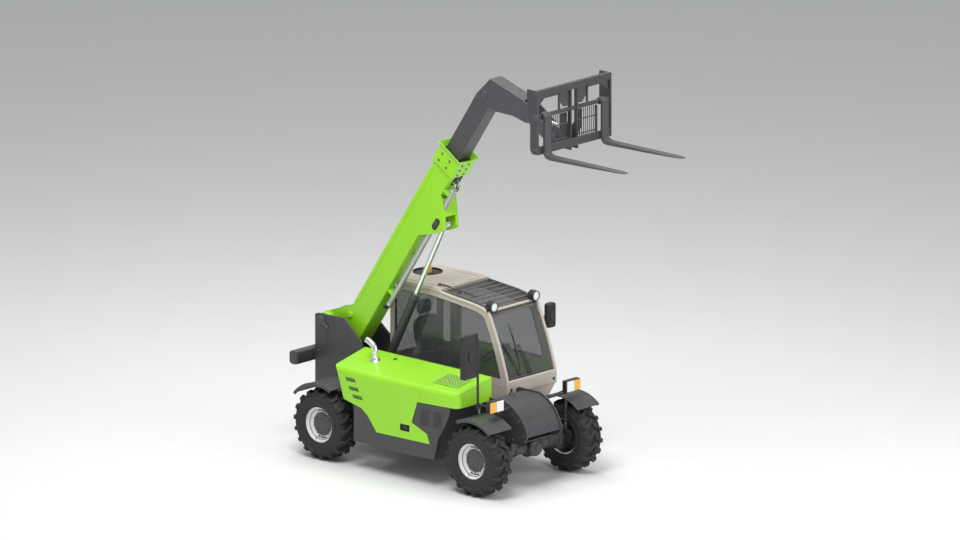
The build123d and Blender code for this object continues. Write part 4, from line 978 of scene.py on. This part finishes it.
def cushion(name, middle, size, turn, channels):
    """A crowned pad: a fine block pulled round at its corners, with sewn channels pressed in."""
    pad = bmesh.new()
    bmesh.ops.create_cube(pad, size=2)
    bmesh.ops.subdivide_edges(pad, edges=pad.edges, cuts=23, use_grid_fill=True)
    for v in pad.verts:
        x, y, z = v.co
        ball = Vector([a * sqrt(1 - 0.5 * b * b - 0.5 * c * c + b * b * c * c / 3)
                       for a, b, c in ((x, y, z), (y, x, z), (z, y, x))])
        soft = Vector((x, y, z)).lerp(ball, 0.42)
        pull = 1 - 0.05 * abs(x * y) ** 3
        crown = 0.16 * (1 - x * x) * (1 - y * y) * max(0, z)
        bolster = 0.22 * max(0, abs(y) - 0.62) * max(0, z)
        seam = sum(exp(-((x - c) / 0.035) ** 2) for c in channels) * 0.1 * max(0, z) * (abs(y) < 0.8)
        seam += exp(-((abs(y) - 0.62) / 0.03) ** 2) * 0.12 * max(0, z)
        v.co = (soft.x * pull * size[0] / 2, soft.y * pull * size[1] / 2,
                (soft.z + crown + bolster - seam) * size[2] / 2)
    pad.transform(Matrix.Translation(middle) @ turn)
    thing = piece(name, pad, "chassis", seat_cloth, 0, 60)
    return thing


base_pad = cushion("seat_cushion", at(0.64, seat_y, 1.052), (0.44, 0.44, 0.105), Matrix(),
                   (-0.45, 0.05, 0.5))
cushion("seat_backrest", at(0.428, seat_y, 1.335), (0.42, 0.42, 0.105), turned_y(79), (-0.5, -0.1, 0.3))
cushion("seat_headrest", at(0.364, seat_y, 1.635), (0.165, 0.22, 0.06), turned_y(83), (0.0,))
stand = bmesh.new()
add_box(stand, at(0.64, seat_y, 0.99), (0.4, 0.4, 0.03))
for k in range(9):
    z = 0.66 + 0.0345 * k
    add_box(stand, at(0.69, seat_y, z + 0.01), (0.13, 0.32, 0.016))
    add_box(stand, at(0.69, seat_y, z + 0.027), (0.112, 0.3, 0.018))
for side in (-1, 1):
    add_hose(stand, [at(0.44, seat_y + side * 0.13, 1.06), at(0.395, seat_y + side * 0.13, 1.2),
                     at(0.352, seat_y + side * 0.05, 1.56)], 0.01, 10)
piece("seat_stand", stand, "chassis", black_plastic, 0.003)
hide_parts("seat")

controls = bmesh.new()
column_foot = at(1.74, seat_y, 1.0)
wheel_middle = at(1.5, seat_y, 1.28)
column = (wheel_middle - column_foot).normalized()
side_axis = column.orthogonal().normalized()
other_axis = column.cross(side_axis)


def on_steering_wheel(radius, turn):
    return wheel_middle + (side_axis * cos(turn) + other_axis * sin(turn)) * radius


grip = [on_steering_wheel(0.178, tau * k / 48) for k in range(48)]
add_pipe(controls, grip, 0.0125, 12, closed=True)
for k in range(3):
    rim_point = on_steering_wheel(0.175, tau * k / 3 + pi / 2)
    add_hose(controls, [wheel_middle - column * 0.008, (wheel_middle + rim_point) / 2 - column * 0.016,
                        rim_point], 0.0105)
add_turned(controls, wheel_middle - column * 0.03, column,
           ((0, 0.04), (0.03, 0.044), (0.04, 0.038), (0.043, 0.02)), 32)
add_turned(controls, column_foot, column, ((-0.06, 0.052), (0.05, 0.044), (0.3, 0.034), (0.33, 0.03)), 32)
add_turned(controls, grip[6] + column * 0.01, column,
           ((0, 0.008), (0.014, 0.008), (0.016, 0.02), (0.046, 0.022), (0.054, 0.014)), 20)
for y, lift in ((-0.085, 0.02), (0.085, 0)):
    add_hose(controls, [column_foot + column * 0.22 + Vector((0, y * 0.3, 0)),
                        column_foot + column * 0.25 + Vector((0, y * 1.6, 0.02 + lift))], 0.006)
piece("steering_wheel_grip", controls, "chassis", black_plastic, 0)

pod = bmesh.new()
add_box(pod, at(1.83, seat_y, 1.066), (0.17, 0.26, 0.03), turned_y(-18))
for k in range(3):
    add_turned(pod, at(1.76, 0.415 + 0.075 * k, 1.066), (-0.8, 0, 0.6),
               ((0, 0.028), (0.01, 0.028), (0.012, 0.024)), 28)
for y in (0.37, 0.58):
    add_box(pod, at(1.672, y, 0.7), (0.012, 0.07, 0.09), turned_y(-35))
    add_pipe(pod, [at(1.7, y, 0.76), at(1.68, y, 0.7)], 0.008, 8)
    for k in range(4):
        add_box(pod, at(1.66 + 0.01 * k, y, 0.672 + 0.014 * k), (0.006, 0.064, 0.005), turned_y(-35))
console_y = 0.225
add_box(pod, at(0.76, console_y, 0.93), (0.36, 0.1, 0.09))
add_box(pod, at(0.62, console_y, 0.78), (0.07, 0.08, 0.26))
for x, lift in ((0.86, 0.17), (0.78, 0.12)):
    add_turned(pod, at(x, console_y, 0.972), (0, 0, 1),
               ((0, 0.036), (0.012, 0.03), (0.024, 0.02), (0.034, 0.014)), 24)
    add_hose(pod, [at(x, console_y, 0.99), at(x + 0.01, console_y, 0.99 + lift)], 0.007, 10)
    add_turned(pod, at(x + 0.008, console_y, 0.985 + lift), (0.06, 0, 1),
               ((0, 0.012), (0.02, 0.019), (0.06, 0.021), (0.085, 0.015), (0.09, 0.006)), 24)
piece("cab_controls", pod, "chassis", black_plastic, 0.003)

floor_mat = bmesh.new()
mat_low, mat_high = box_of("cab_floor")
mat_size = mat_high - mat_low
mat_y = (mat_low.y + mat_high.y) / 2
add_box(floor_mat, Vector((mat_low.x + mat_size.x / 2 + 0.15, mat_y, mat_high.z + 0.003)),
        (mat_size.x - 0.5, mat_size.y - 0.08, 0.006))
for k in range(18):
    add_box(floor_mat, Vector((mat_low.x + 0.42 + 0.045 * k, mat_y, mat_high.z + 0.0075)),
            (0.016, mat_size.y - 0.12, 0.003))
piece("cab_floor_mat", floor_mat, "chassis", black_plastic, 0.001)

# ---------------------------------------------------------------- door
# A lime lower panel under a taupe window frame, hinged at the rear edge, with a pull handle, a
# pressed field and a bonded pane.
finish_nodes(lime, "door_panel")
finish_nodes(taupe, "door_frame")
finish_nodes(cab_glass_finish, "door_glass")
door_face = 0.901                   # outer face of the door
door_pane = ((0.565, 1.225), (0.565, 1.87), (0.86, 1.89), (1.24, 1.866), (1.575, 1.828), (1.7, 1.775),
             (1.9, 1.225))
door_seal = bmesh.new()
for y in (door_face, door_face - 0.03):
    add_seal(door_seal, door_pane, y, 0.008)
piece("door_seals", door_seal, "door", black_plastic, 0)
handle_z = 1.12
handle = bmesh.new()
add_box(handle, at(1.79, door_face + 0.002, handle_z), (0.17, 0.006, 0.06))
add_hose(handle, [at(x, door_face + out, handle_z) for x, out in
                  ((1.725, 0.002), (1.735, 0.026), (1.845, 0.026), (1.855, 0.002))], 0.008, 10, 5)
add_turned(handle, at(1.7, door_face + 0.002, handle_z), (0, 1, 0),
           ((0, 0.013), (0.006, 0.013), (0.008, 0.01)), 24)
piece("door_handle", handle, "door", black_plastic, 0.001)
field = bmesh.new()
field_line = ((0.6, 1.12), (0.6, 1.01), (0.7, 0.74), (1.78, 0.74), (1.91, 0.97), (1.905, 1.065),
              (1.66, 1.065), (1.63, 1.12))
add_seal(field, field_line, door_face, 0.005)
piece("door_panel_pressing", field, "door", lime, 0)

# ---------------------------------------------------------------- lamps and mirrors
# Two head lamp pods stand on stalks above the front wheels, white beside amber in dark bezels, and
# two round work lamps look forward from the roof. The mirrors are ribbed shells on clamped arms.
clear_lens = clear_material("clear_lens", (0.92, 0.94, 0.95), 0.08, 0.1, "lamp_clear")
mirror_face = worn_highlit_material("mirror_face", (0.8, 0.83, 0.85), 0.04, metallic=1.0, mottle=0.02,
                            edge_wear=0.0, dust=0.02, grain_depth=0.0)
finish_nodes(black_plastic, "lamp_housings", "mirrors")
finish_nodes(clear_lens, "clear_lenses")
finish_nodes(mirror_face, "mirror_glass")
pod_y, pod_z = 0.65, 1.0525        # middle of a head lamp pod
bezels = bmesh.new()
pods = bmesh.new()
for side in (-1, 1):
    for middle_y, half in ((0.6, 0.058), (0.712, 0.048)):
        bezel = [at(2.5605, side * middle_y + sy * half, pod_z + sz * 0.0605) for sy, sz in four_corners]
        add_pipe(bezels, bezel, 0.0055, 8, closed=True)
    pod_rim = [at(2.503, side * pod_y + sy * 0.112, pod_z + sz * 0.064) for sy, sz in four_corners]
    add_pipe(pods, pod_rim, 0.006, 8, closed=True)
    for k in range(5):
        add_box(pods, at(2.5, side * pod_y, 1.01 + 0.02 * k), (0.01, 0.19, 0.007))
    add_turned(pods, at(2.515, side * 0.575, 0.973), (0, 0, 1),
               ((-0.018, 0.02), (0.01, 0.02), (0.014, 0.015)), 24)
    add_hose(pods, [at(2.5, side * 0.62, 1.0), at(2.47, side * 0.56, 0.985),
                    at(2.45, side * 0.46, 0.965), at(2.44, boom_y + side * 0.305, 0.93)], 0.008)
piece("head_lamp_bezels", bezels, "chassis", black_plastic, 0)
piece("head_lamp_pods", pods, "chassis", charcoal, 0.001)

work = bmesh.new()
glow = bmesh.new()
for y in (right_y + 0.06, left_y - 0.06):
    lamp = at(1.755, y, 1.945)
    add_turned(work, lamp, (1, 0, 0), ((0.02, 0.0605), (0.052, 0.0605), (0.056, 0.058), (0.056, 0.0525),
                                       (0.04, 0.0525)), 48, ring=True)
    for k in range(6):
        reach = 0.009 * k
        add_turned(work, lamp, (1, 0, 0), ((reach - 0.034, 0.0605), (reach - 0.03, 0.0635),
                                           (reach - 0.026, 0.0605)), 40, ring=True)
    for side in (-1, 1):
        cheek = [lamp + Vector((x, side * 0.062, z)) for x, z in
                 ((-0.016, 0), (0.016, 0), (0.012, -0.062), (-0.016, -0.062))]
        add_plate(work, cheek, (0, side * 0.004, 0))
        add_bolt(work, lamp + Vector((0, side * 0.066, -0.002)), (0, side, 0), 0.006)
    add_turned(glow, lamp, (1, 0, 0), ((0.046, 0.0515), (0.05, 0.048), (0.0535, 0.032), (0.055, 0.012)), 48)
piece("work_lamp_rims", work, "chassis", black_plastic, 0.0006)
piece("work_lamp_lenses", glow, "chassis", clear_lens, 0)

mirror_corners = ((-1, -0.9), (-0.86, -1), (0.86, -1), (1, -0.9), (1, 0.9), (0.86, 1), (-0.86, 1),
                  (-1, 0.9))
arms = bmesh.new()
for x, y0, y1, z0, z1 in ((2.416, -1.06, -0.8, 1.41, 1.93), (1.912, 0.925, 1.06, 1.56, 1.85)):
    middle_y, middle_z = (y0 + y1) / 2, (z0 + z1) / 2
    half_y, half_z = (y1 - y0) / 2, (z1 - z0) / 2
    for inset in (0.012, 0.034):
        loop = [at(x, middle_y + sy * (half_y - inset), middle_z + sz * (half_z - inset))
                for sy, sz in mirror_corners]
        add_pipe(arms, loop, 0.0045, 8, closed=True)
    for k in (-1, 0, 1):
        add_pipe(arms, [at(x, middle_y + k * half_y * 0.42, middle_z - half_z * 0.62),
                        at(x, middle_y + k * half_y * 0.3, middle_z + half_z * 0.62)], 0.0045, 6)
    add_box(arms, at(x + 0.004, middle_y, middle_z), (0.02, 0.06, 0.1))
pole_x, pole_y = 2.4, -0.79      # the right mirror's pole
for z in (1.52, 1.66, 1.8):
    add_turned(arms, at(pole_x, pole_y, z), (0, 0, 1),
               ((-0.016, 0.0155), (-0.012, 0.02), (0.012, 0.02), (0.016, 0.0155)), 20, ring=True)
add_turned(arms, at(pole_x, pole_y, 1.85), (0, 0, 1), ((-0.002, 0.0165), (0.006, 0.0165), (0.014, 0.008)),
           20)
for z in (1.04, 1.085):
    add_turned(arms, at(pole_x, pole_y, z), (0, 0, 1), ((-0.01, 0.022), (0.01, 0.022)), 24)
add_hose(arms, [at(2.4, -0.792, 1.5), at(2.405, -0.83, 1.44), at(2.412, -0.87, 1.46),
                at(2.416, -0.9, 1.53)], 0.006)
add_hose(arms, [at(1.836, 0.912, 1.66), at(1.85, 0.93, 1.69), at(1.88, 0.95, 1.72)], 0.007)
piece("mirror_arms_and_ribs", arms, "chassis", black_plastic, 0)

# ---------------------------------------------------------------- boom
# The outer boom is a lime box with bolted wear pads at its flared mouth, a capping strip along its
# upper edges, pivot ears with pressed rings, and a hose outlet under its front end.
silver_paint = worn_highlit_material("silver_paint", (0.46, 0.47, 0.47), 0.3, metallic=0.6, mottle=0.08, dust=0.12,
                             slot="silver_paint")
finish_nodes(lime, "boom_outer")
finish_nodes(silver_paint, "extension_cylinder")
finish_nodes(black_plastic, "lift_pin_covers")
outer_half = 0.12                  # outer boom's half width
weld_out = 0.1185                   # where a weld bead lies on the boom's side
collar_half = 0.14
boom_top, boom_low = -0.19, -0.49
boom_turn = Matrix((boom_dir, Vector((0, 1, 0)), boom_up)).transposed().to_4x4()


def on_boom(u, v, y):
    """A point given along the boom, above its pivot line and beside its plane."""
    return pivot + boom_dir * u + boom_up * v + Vector((0, y, 0))


def boom_line(y, outline):
    return [on_boom(u, v, y) for u, v in outline]


pad_bolts = bmesh.new()
for side in (-1, 1):
    for u, v in ((2.79, -0.25), (2.89, -0.25), (2.79, -0.385), (2.89, -0.385)):
        add_bolt(pad_bolts, on_boom(u, v, side * collar_half), (0, side, 0), 0.01)
for u in (2.765, 2.84, 2.915):
    for y in (-0.055, 0.055):
        add_bolt(pad_bolts, on_boom(u, boom_low - 0.022, y), -boom_up, 0.01)
        add_bolt(pad_bolts, on_boom(u, boom_top + 0.022, y), boom_up, 0.01)
piece("wear_pad_bolts", pad_bolts, "outer_boom", bolt_steel, 0.0008)

cap_strip = ((0.46, -0.194), (2.7, -0.194), (2.665, -0.236), (0.52, -0.236))
foot_strip = ((0.3, -0.486), (1.78, -0.486), (1.74, -0.466), (0.34, -0.466))
collar_band = ((2.722, -0.172), (2.732, -0.168), (2.732, -0.512), (2.722, -0.508))
strips = bmesh.new()
for side in (-1, 1):
    y = side * outer_half
    for out, depth, outline in ((outer_half, 0.004, cap_strip), (outer_half, 0.003, foot_strip),
                                (0.1205, 0.014, collar_band)):
        add_plate(strips, boom_line(side * out, outline), (0, side * depth, 0))
    add_turned(strips, on_boom(0.266, -0.222, side * 0.135), (0, side, 0),
               ((-0.004, 0.033), (0.006, 0.033), (0.008, 0.029), (0.008, 0.018), (0.002, 0.014)), 32)
    add_turned(strips, on_boom(0, 0, y), (0, side, 0),
               ((0, 0.09), (0.006, 0.09), (0.01, 0.084), (0.01, 0.079), (0, 0.079)), 48, ring=True)
    ear = ((0.415, -0.205), (0.3, -0.12), (0.1, 0.022), (0.0, 0.08), (-0.055, 0.056))
    add_hose(strips, boom_line(y, ear), 0.0055, 8, 5)
    bracket = ((1.812, -0.492), (2.004, -0.672), (2.1, -0.744), (2.143, -0.758), (2.174, -0.732),
               (2.408, -0.536), (2.44, -0.492))
    add_pipe(strips, boom_line(side * weld_out, bracket), 0.006, 8)
    for v, u0, u1 in ((boom_top, 0.44, 2.72), (boom_low, 0.36, 1.8)):
        add_pipe(strips, boom_line(side * weld_out, ((u0, v), (u1, v))), 0.0045, 8)
piece("boom_strips_and_welds", strips, "outer_boom", lime, 0.001)

lip_half, lip_middle = 0.163, -0.34    # half the flared mouth's width, and its middle height
lip = bmesh.new()
lip_corners = [on_boom(2.998, lip_middle + sv * 0.195, sy * lip_half) for sv, sy in four_corners]
add_pipe(lip, lip_corners, 0.006, 8, closed=True)
piece("boom_mouth_lip", lip, "outer_boom", lime, 0)

pads = bmesh.new()
for side in (-1, 1):
    add_box(pads, on_boom(2.944, -0.34, side * 0.101), (0.018, 0.01, 0.16), boom_turn)
for v in (-0.211, -0.469):
    add_box(pads, on_boom(2.944, v, 0), (0.018, 0.15, 0.016), boom_turn)
piece("wear_pads", pads, "outer_boom", black_plastic, 0.001)

outlet = bmesh.new()
add_box(outlet, on_boom(2.65, boom_low - 0.0015, 0.028), (0.135, 0.145, 0.005), boom_turn)
piece("hose_outlet_shadow", outlet, "outer_boom", black_plastic, 0.002)
outlet_rim = bmesh.new()
rim_points = [on_boom(2.65 + su * 0.069, boom_low - 0.004, 0.028 + sy * 0.074) for su, sy in four_corners]
add_pipe(outlet_rim, rim_points, 0.0055, 8, closed=True)
piece("hose_outlet_rim", outlet_rim, "outer_boom", lime, 0)

fittings = bmesh.new()
for y, u in ((-0.015, 2.622), (0.03, 2.655), (0.072, 2.625)):
    start = on_boom(u, boom_low - 0.002, y)
    turned = start - boom_up * 0.046
    add_turned(fittings, start, -boom_up, ((0, 0.013), (0.016, 0.013)), 6)
    add_hose(fittings, [start - boom_up * 0.012, start - boom_up * 0.034, turned - boom_dir * 0.016,
                        turned - boom_dir * 0.044], 0.0085, 12)
    add_turned(fittings, turned - boom_dir * 0.04, -boom_dir, ((0, 0.013), (0.018, 0.013), (0.02, 0.011)),
               6)
piece("hose_fittings", fittings, "outer_boom", bright_metal, 0.0006)

hoses = bmesh.new()
for y, u in ((0.03, 2.595), (0.072, 2.565)):
    route = ((u, boom_low - 0.048), (2.52, -0.54), (2.44, -0.52), (2.38, -0.505), (2.35, -0.48))
    add_hose(hoses, boom_line(y, route), 0.0095, 12)
piece("boom_hoses", hoses, "outer_boom", black_plastic, 0)

clamps = bmesh.new()
for u in (0.62, 1.05, 1.48, 1.92):
    add_box(clamps, on_boom(u, boom_low - 0.016, 0.045), (0.036, 0.09, 0.03), boom_turn)
    for y in (0.0228, 0.0684):
        add_bolt(clamps, on_boom(u, boom_low - 0.03, y), -boom_up, 0.006)
piece("hose_clamps", clamps, "outer_boom", graphite)

extension = bmesh.new()
ext_y, ext_v = -0.072, -0.583       # the extension cylinder's own line beside and below the boom
for u in (0.765, 2.585):
    add_turned(extension, on_boom(u, ext_v, ext_y), boom_dir,
               ((-0.014, 0.035), (-0.01, 0.0385), (0.01, 0.0385), (0.014, 0.035)), 32, ring=True)
for u in (1.02, 2.3):
    add_turned(extension, on_boom(u, ext_v, ext_y), boom_up,
               ((0.03, 0.011), (0.046, 0.011), (0.048, 0.014), (0.06, 0.014)), 6)
feed = ((1.02, 0.056, 0), (1.06, 0.066, 0.01), (1.2, 0.06, 0.03), (2.14, 0.06, 0.03),
        (2.28, 0.066, 0.008), (2.3, 0.056, 0))
add_hose(extension, [on_boom(u, ext_v + v, ext_y + y) for u, v, y in feed], 0.006, 10)
piece("extension_cylinder_ports", extension, "outer_boom", silver_paint, 0.0008)

lift_pin_u, lift_pin_v = 2.107, -0.626
covers = bmesh.new()
for side in (-1, 1):
    cover_y = side * (outer_half + 0.008)
    for u in (lift_pin_u - 0.052, lift_pin_u + 0.052):
        add_bolt(covers, on_boom(u, lift_pin_v, cover_y), (0, side, 0), 0.007)
    add_turned(covers, on_boom(lift_pin_u, lift_pin_v, cover_y), (0, side, 0),
               ((-0.002, 0.027), (0.004, 0.027), (0.006, 0.024), (0.006, 0.012)), 32)
piece("lift_pin_cover_bolts", covers, "outer_boom", bolt_steel, 0.0006)

# ---------------------------------------------------------------- inner boom and nose
# The dark inner boom runs out of the mouth and bends down to the fork frame's pin. Its side plates
# are welded along the edges, with bolted pins and a round access cover at the bend.
finish_nodes(graphite, "boom_inner")
inner_half = 0.095                  # inner boom's half width
nose_face = bmesh.new()
weld = bmesh.new()
nose_line = ((3.7, -0.228), (3.82, -0.228), (4.108, -0.289), (4.256, -0.809), (4.255, -1.133),
             (4.245, -1.412))
under_line = ((3.7, -0.452), (3.838, -0.541), (3.991, -0.782), (4.061, -0.97), (4.096, -1.026),
              (4.106, -1.41))
for side in (-1, 1):
    for line in (nose_line, under_line):
        add_pipe(weld, boom_line(side * (inner_half - 0.0015), line), 0.005, 8)
    for u, v, radius in ((3.905, -0.33, 0.042), (4.19, -1.0, 0.026)):
        spot = on_boom(u, v, side * inner_half)
        add_turned(nose_face, spot, (0, side, 0),
                   ((-0.002, radius), (0.007, radius), (0.01, radius - 0.005), (0.01, radius * 0.4)), 32)
        for k in range(4):
            add_bolt(nose_face, round_y(spot, radius * 0.68, 90 * k + 45, spot.y + side * 0.009),
                     (0, side, 0), 0.005)
piece("inner_boom_covers", nose_face, "inner_boom", graphite, 0.0008)
piece("inner_boom_welds", weld, "inner_boom", graphite, 0)

# ---------------------------------------------------------------- cylinders
# Each hydraulic cylinder has a screwed gland with wrench flats, a collar by its foot, and two
# ports joined by a steel feed pipe along the barrel.
finish_nodes(charcoal, "lift_barrel", "tilt_barrel")
finish_nodes(chrome, "lift_rod", "tilt_rod")
for name, length, radius, port_side in (("lift", 1.46, 0.052, 1), ("tilt", 0.62, 0.034, -1)):
    barrel_foot = Vector(joints[name + "_barrel_swing"]["pos_m"])
    line = Vector(joints[name + "_rod_slide"]["axis"]).normalized()
    gland = barrel_foot + line * length
    fits = bmesh.new()
    for place, steps, profile in (
            (gland, 40, ((-0.075, 0), (-0.072, 0.006), (-0.03, 0.006), (-0.026, -0.001))),
            (gland, 12, ((-0.06, 0.004), (-0.06, 0.0085), (-0.04, 0.0085), (-0.04, 0.004))),
            (barrel_foot + line * 0.1, 40, ((-0.02, 0), (-0.012, 0.006), (0.012, 0.006), (0.02, 0)))):
        add_turned(fits, place, line, [(d, radius + r) for d, r in profile], steps, ring=True)
    port_way = Vector((0, port_side, 0))
    ends = []
    for reach in (0.155, length - 0.115):
        start = barrel_foot + line * reach + port_way * (radius - 0.004)
        add_turned(fits, start, port_way, ((0, 0.014), (0.012, 0.014), (0.014, 0.011), (0.022, 0.011)), 16)
        ends.append(start + port_way * 0.02)
    add_hose(fits, [ends[0], ends[0] + port_way * 0.004 + line * 0.03,
                    ends[1] + port_way * 0.004 - line * 0.03, ends[1]], 0.006, 10)
    piece(f"{name}_cylinder_fittings", fits, f"{name}_barrel", charcoal, 0.0008)

# ---------------------------------------------------------------- fork frame and forks
# A dark welded frame hangs on the nose: a square top bar, side plates, a shaft that the forks slide
# on, and a guard of upright bars between the ribs. The forks are forged, with a round heel and
# tapered blades.
finish_nodes(charcoal, "fork_frame")
finish_nodes(graphite, "forks")
frame_corner = box_of("fork_frame")[1]
frame_x = frame_corner.x - rear_axle    # front face of the frame, ahead of the rear axle
frame_top = frame_corner.z
frame_half = 0.62
shaft_x, shaft_z = -0.035, -0.31   # the shaft that the forks slide on, from the same corner


def on_frame(x, y, z):
    """A point ahead of the frame's front face, beside the boom plane and above the frame's top."""
    return at(frame_x + x, boom_y + y, frame_top + z)


guard = bmesh.new()
for side in (-1, 1):
    for k in range(9):
        y = side * (0.1 + 0.034 * k)
        add_pipe(guard, [on_frame(-0.045, y, -0.7), on_frame(-0.045, y, -0.345)], 0.005, 6)
    for z in (-0.47, -0.64):
        add_pipe(guard, [on_frame(-0.05, side * 0.066, z), on_frame(-0.05, side * 0.395, z)], 0.008, 8)
    for y, post in ((0.386, oblong(-0.04, -0.01, -0.72, -0.345)),
                    (0.23, oblong(-0.04, -0.012, -0.28, -0.07))):
        add_plate(guard, [on_frame(x, side * y, z) for x, z in post], (0, side * 0.012, 0))
piece("guard_bars", guard, "fork_carriage", graphite, 0)

plates = bmesh.new()
side_weld = ((-0.165, -0.003), (0, -0.003), (0, -0.748), (-0.085, -0.748), (-0.115, -0.703),
             (-0.115, -0.403), (-0.165, -0.348))
for side in (-1, 1):
    for x, outline in (
            (-0.034, ((0.07, -0.07), (0.225, -0.07), (0.225, -0.19), (0.16, -0.265), (0.07, -0.265))),
            (-0.034, ((0.25, -0.07), (0.595, -0.07), (0.595, -0.2), (0.48, -0.11), (0.25, -0.11))),
            (-0.062, ((0.07, -0.35), (0.18, -0.35), (0.18, -0.56), (0.12, -0.64), (0.07, -0.64)))):
        add_plate(plates, [on_frame(x, side * y, z) for y, z in outline], (0.008, 0, 0))
    add_pipe(plates, [on_frame(x, side * (frame_half - 0.0015), z) for x, z in side_weld], 0.005, 8,
             closed=True)
    for z in (-0.04, -0.7):
        for x in (-0.06, -0.025):
            add_bolt(plates, on_frame(x, side * frame_half, z), (0, side, 0), 0.009)
    add_turned(plates, on_frame(shaft_x, side * frame_half, shaft_z), (0, side, 0),
               ((-0.002, 0.036), (0.006, 0.036), (0.009, 0.032), (0.009, 0.014)), 32)
    for x, y, z, radius in ((-0.046, 0.045, -0.0815, 0.005), (-0.002, 0.05, -0.6585, 0.004)):
        add_pipe(plates, [on_frame(x, side * y, z), on_frame(x, side * 0.6, z)], radius, 8)
piece("fork_frame_plates", plates, "fork_carriage", graphite, 0.0012)

pins = bmesh.new()
tilt_x, _, tilt_z = joints["fork_tilt"]["pos_m"]
for side in (-1, 1):
    add_turned(pins, (tilt_x, boom_y + side * 0.064, tilt_z), (0, side, 0),
               ((-0.002, 0.05), (0.004, 0.05), (0.006, 0.046), (0.006, 0.028)), 32, ring=True)
piece("tilt_pin_washers", pins, "fork_carriage", graphite, 0.0008)

stops = bmesh.new()
for k in range(11):
    add_box(stops, on_frame(-0.025, -0.55 + 0.11 * k, 0.0015), (0.016, 0.03, 0.006))
piece("top_bar_stops", stops, "fork_carriage", graphite, 0.001)

fork_low, fork_high = box_of("forks")
heel_x, tip_x = frame_x, fork_high.x - rear_axle    # a fork's upright and its tip
hook_z, blade_z = fork_high.z, fork_low.z
# Each section along a fork: its upper and its under edge as (ahead, height), and its half width.
fork_sections = (((heel_x + 0.04, hook_z - 0.03), (heel_x + 0.002, hook_z - 0.006), 0.05),
                 ((heel_x + 0.04, blade_z + 0.105), (heel_x + 0.002, blade_z + 0.09), 0.05),
                 ((heel_x + 0.052, blade_z + 0.07), (heel_x + 0.012, blade_z + 0.045), 0.05),
                 ((heel_x + 0.085, blade_z + 0.05), (heel_x + 0.045, blade_z + 0.012), 0.05),
                 ((heel_x + 0.14, blade_z + 0.045), (heel_x + 0.11, blade_z + 0.001), 0.05),
                 ((heel_x + 0.7, blade_z + 0.045), (heel_x + 0.7, blade_z + 0.016), 0.05),
                 ((tip_x - 0.12, blade_z + 0.0445), (tip_x - 0.12, blade_z + 0.03), 0.048),
                 ((tip_x - 0.02, blade_z + 0.044), (tip_x - 0.02, blade_z + 0.033), 0.03),
                 ((tip_x - 0.002, blade_z + 0.04), (tip_x - 0.002, blade_z + 0.035), 0.018))
forks = bmesh.new()
for middle_y in (fork_low.y + 0.05, fork_high.y - 0.05):
    rows = []
    for (x0, z0), (x1, z1), half in fork_sections:
        rows.append([at(x0, middle_y - half, z0), at(x0, middle_y + half, z0),
                     at(x1, middle_y + half, z1), at(x1, middle_y - half, z1)])
    add_skin(forks, rows)
    add_turned(forks, on_frame(shaft_x, middle_y - boom_y - 0.04, shaft_z), (0, 1, 0),
               ((0, 0.038), (0.003, 0.041), (0.077, 0.041), (0.08, 0.038), (0.08, 0.0265), (0, 0.0265)), 36,
               ring=True)
    hanger = ((0.004, -0.352), (0.004, -0.268), (-0.03, -0.27), (-0.006, -0.352))
    add_plate(forks, [on_frame(x, middle_y - boom_y - 0.038, z) for x, z in hanger], (0, 0.076, 0))
blades = piece("fork_blades", forks, "fork_carriage", graphite, 0.004)
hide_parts("forks")

# ---------------------------------------------------------------- sizes
low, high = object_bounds()
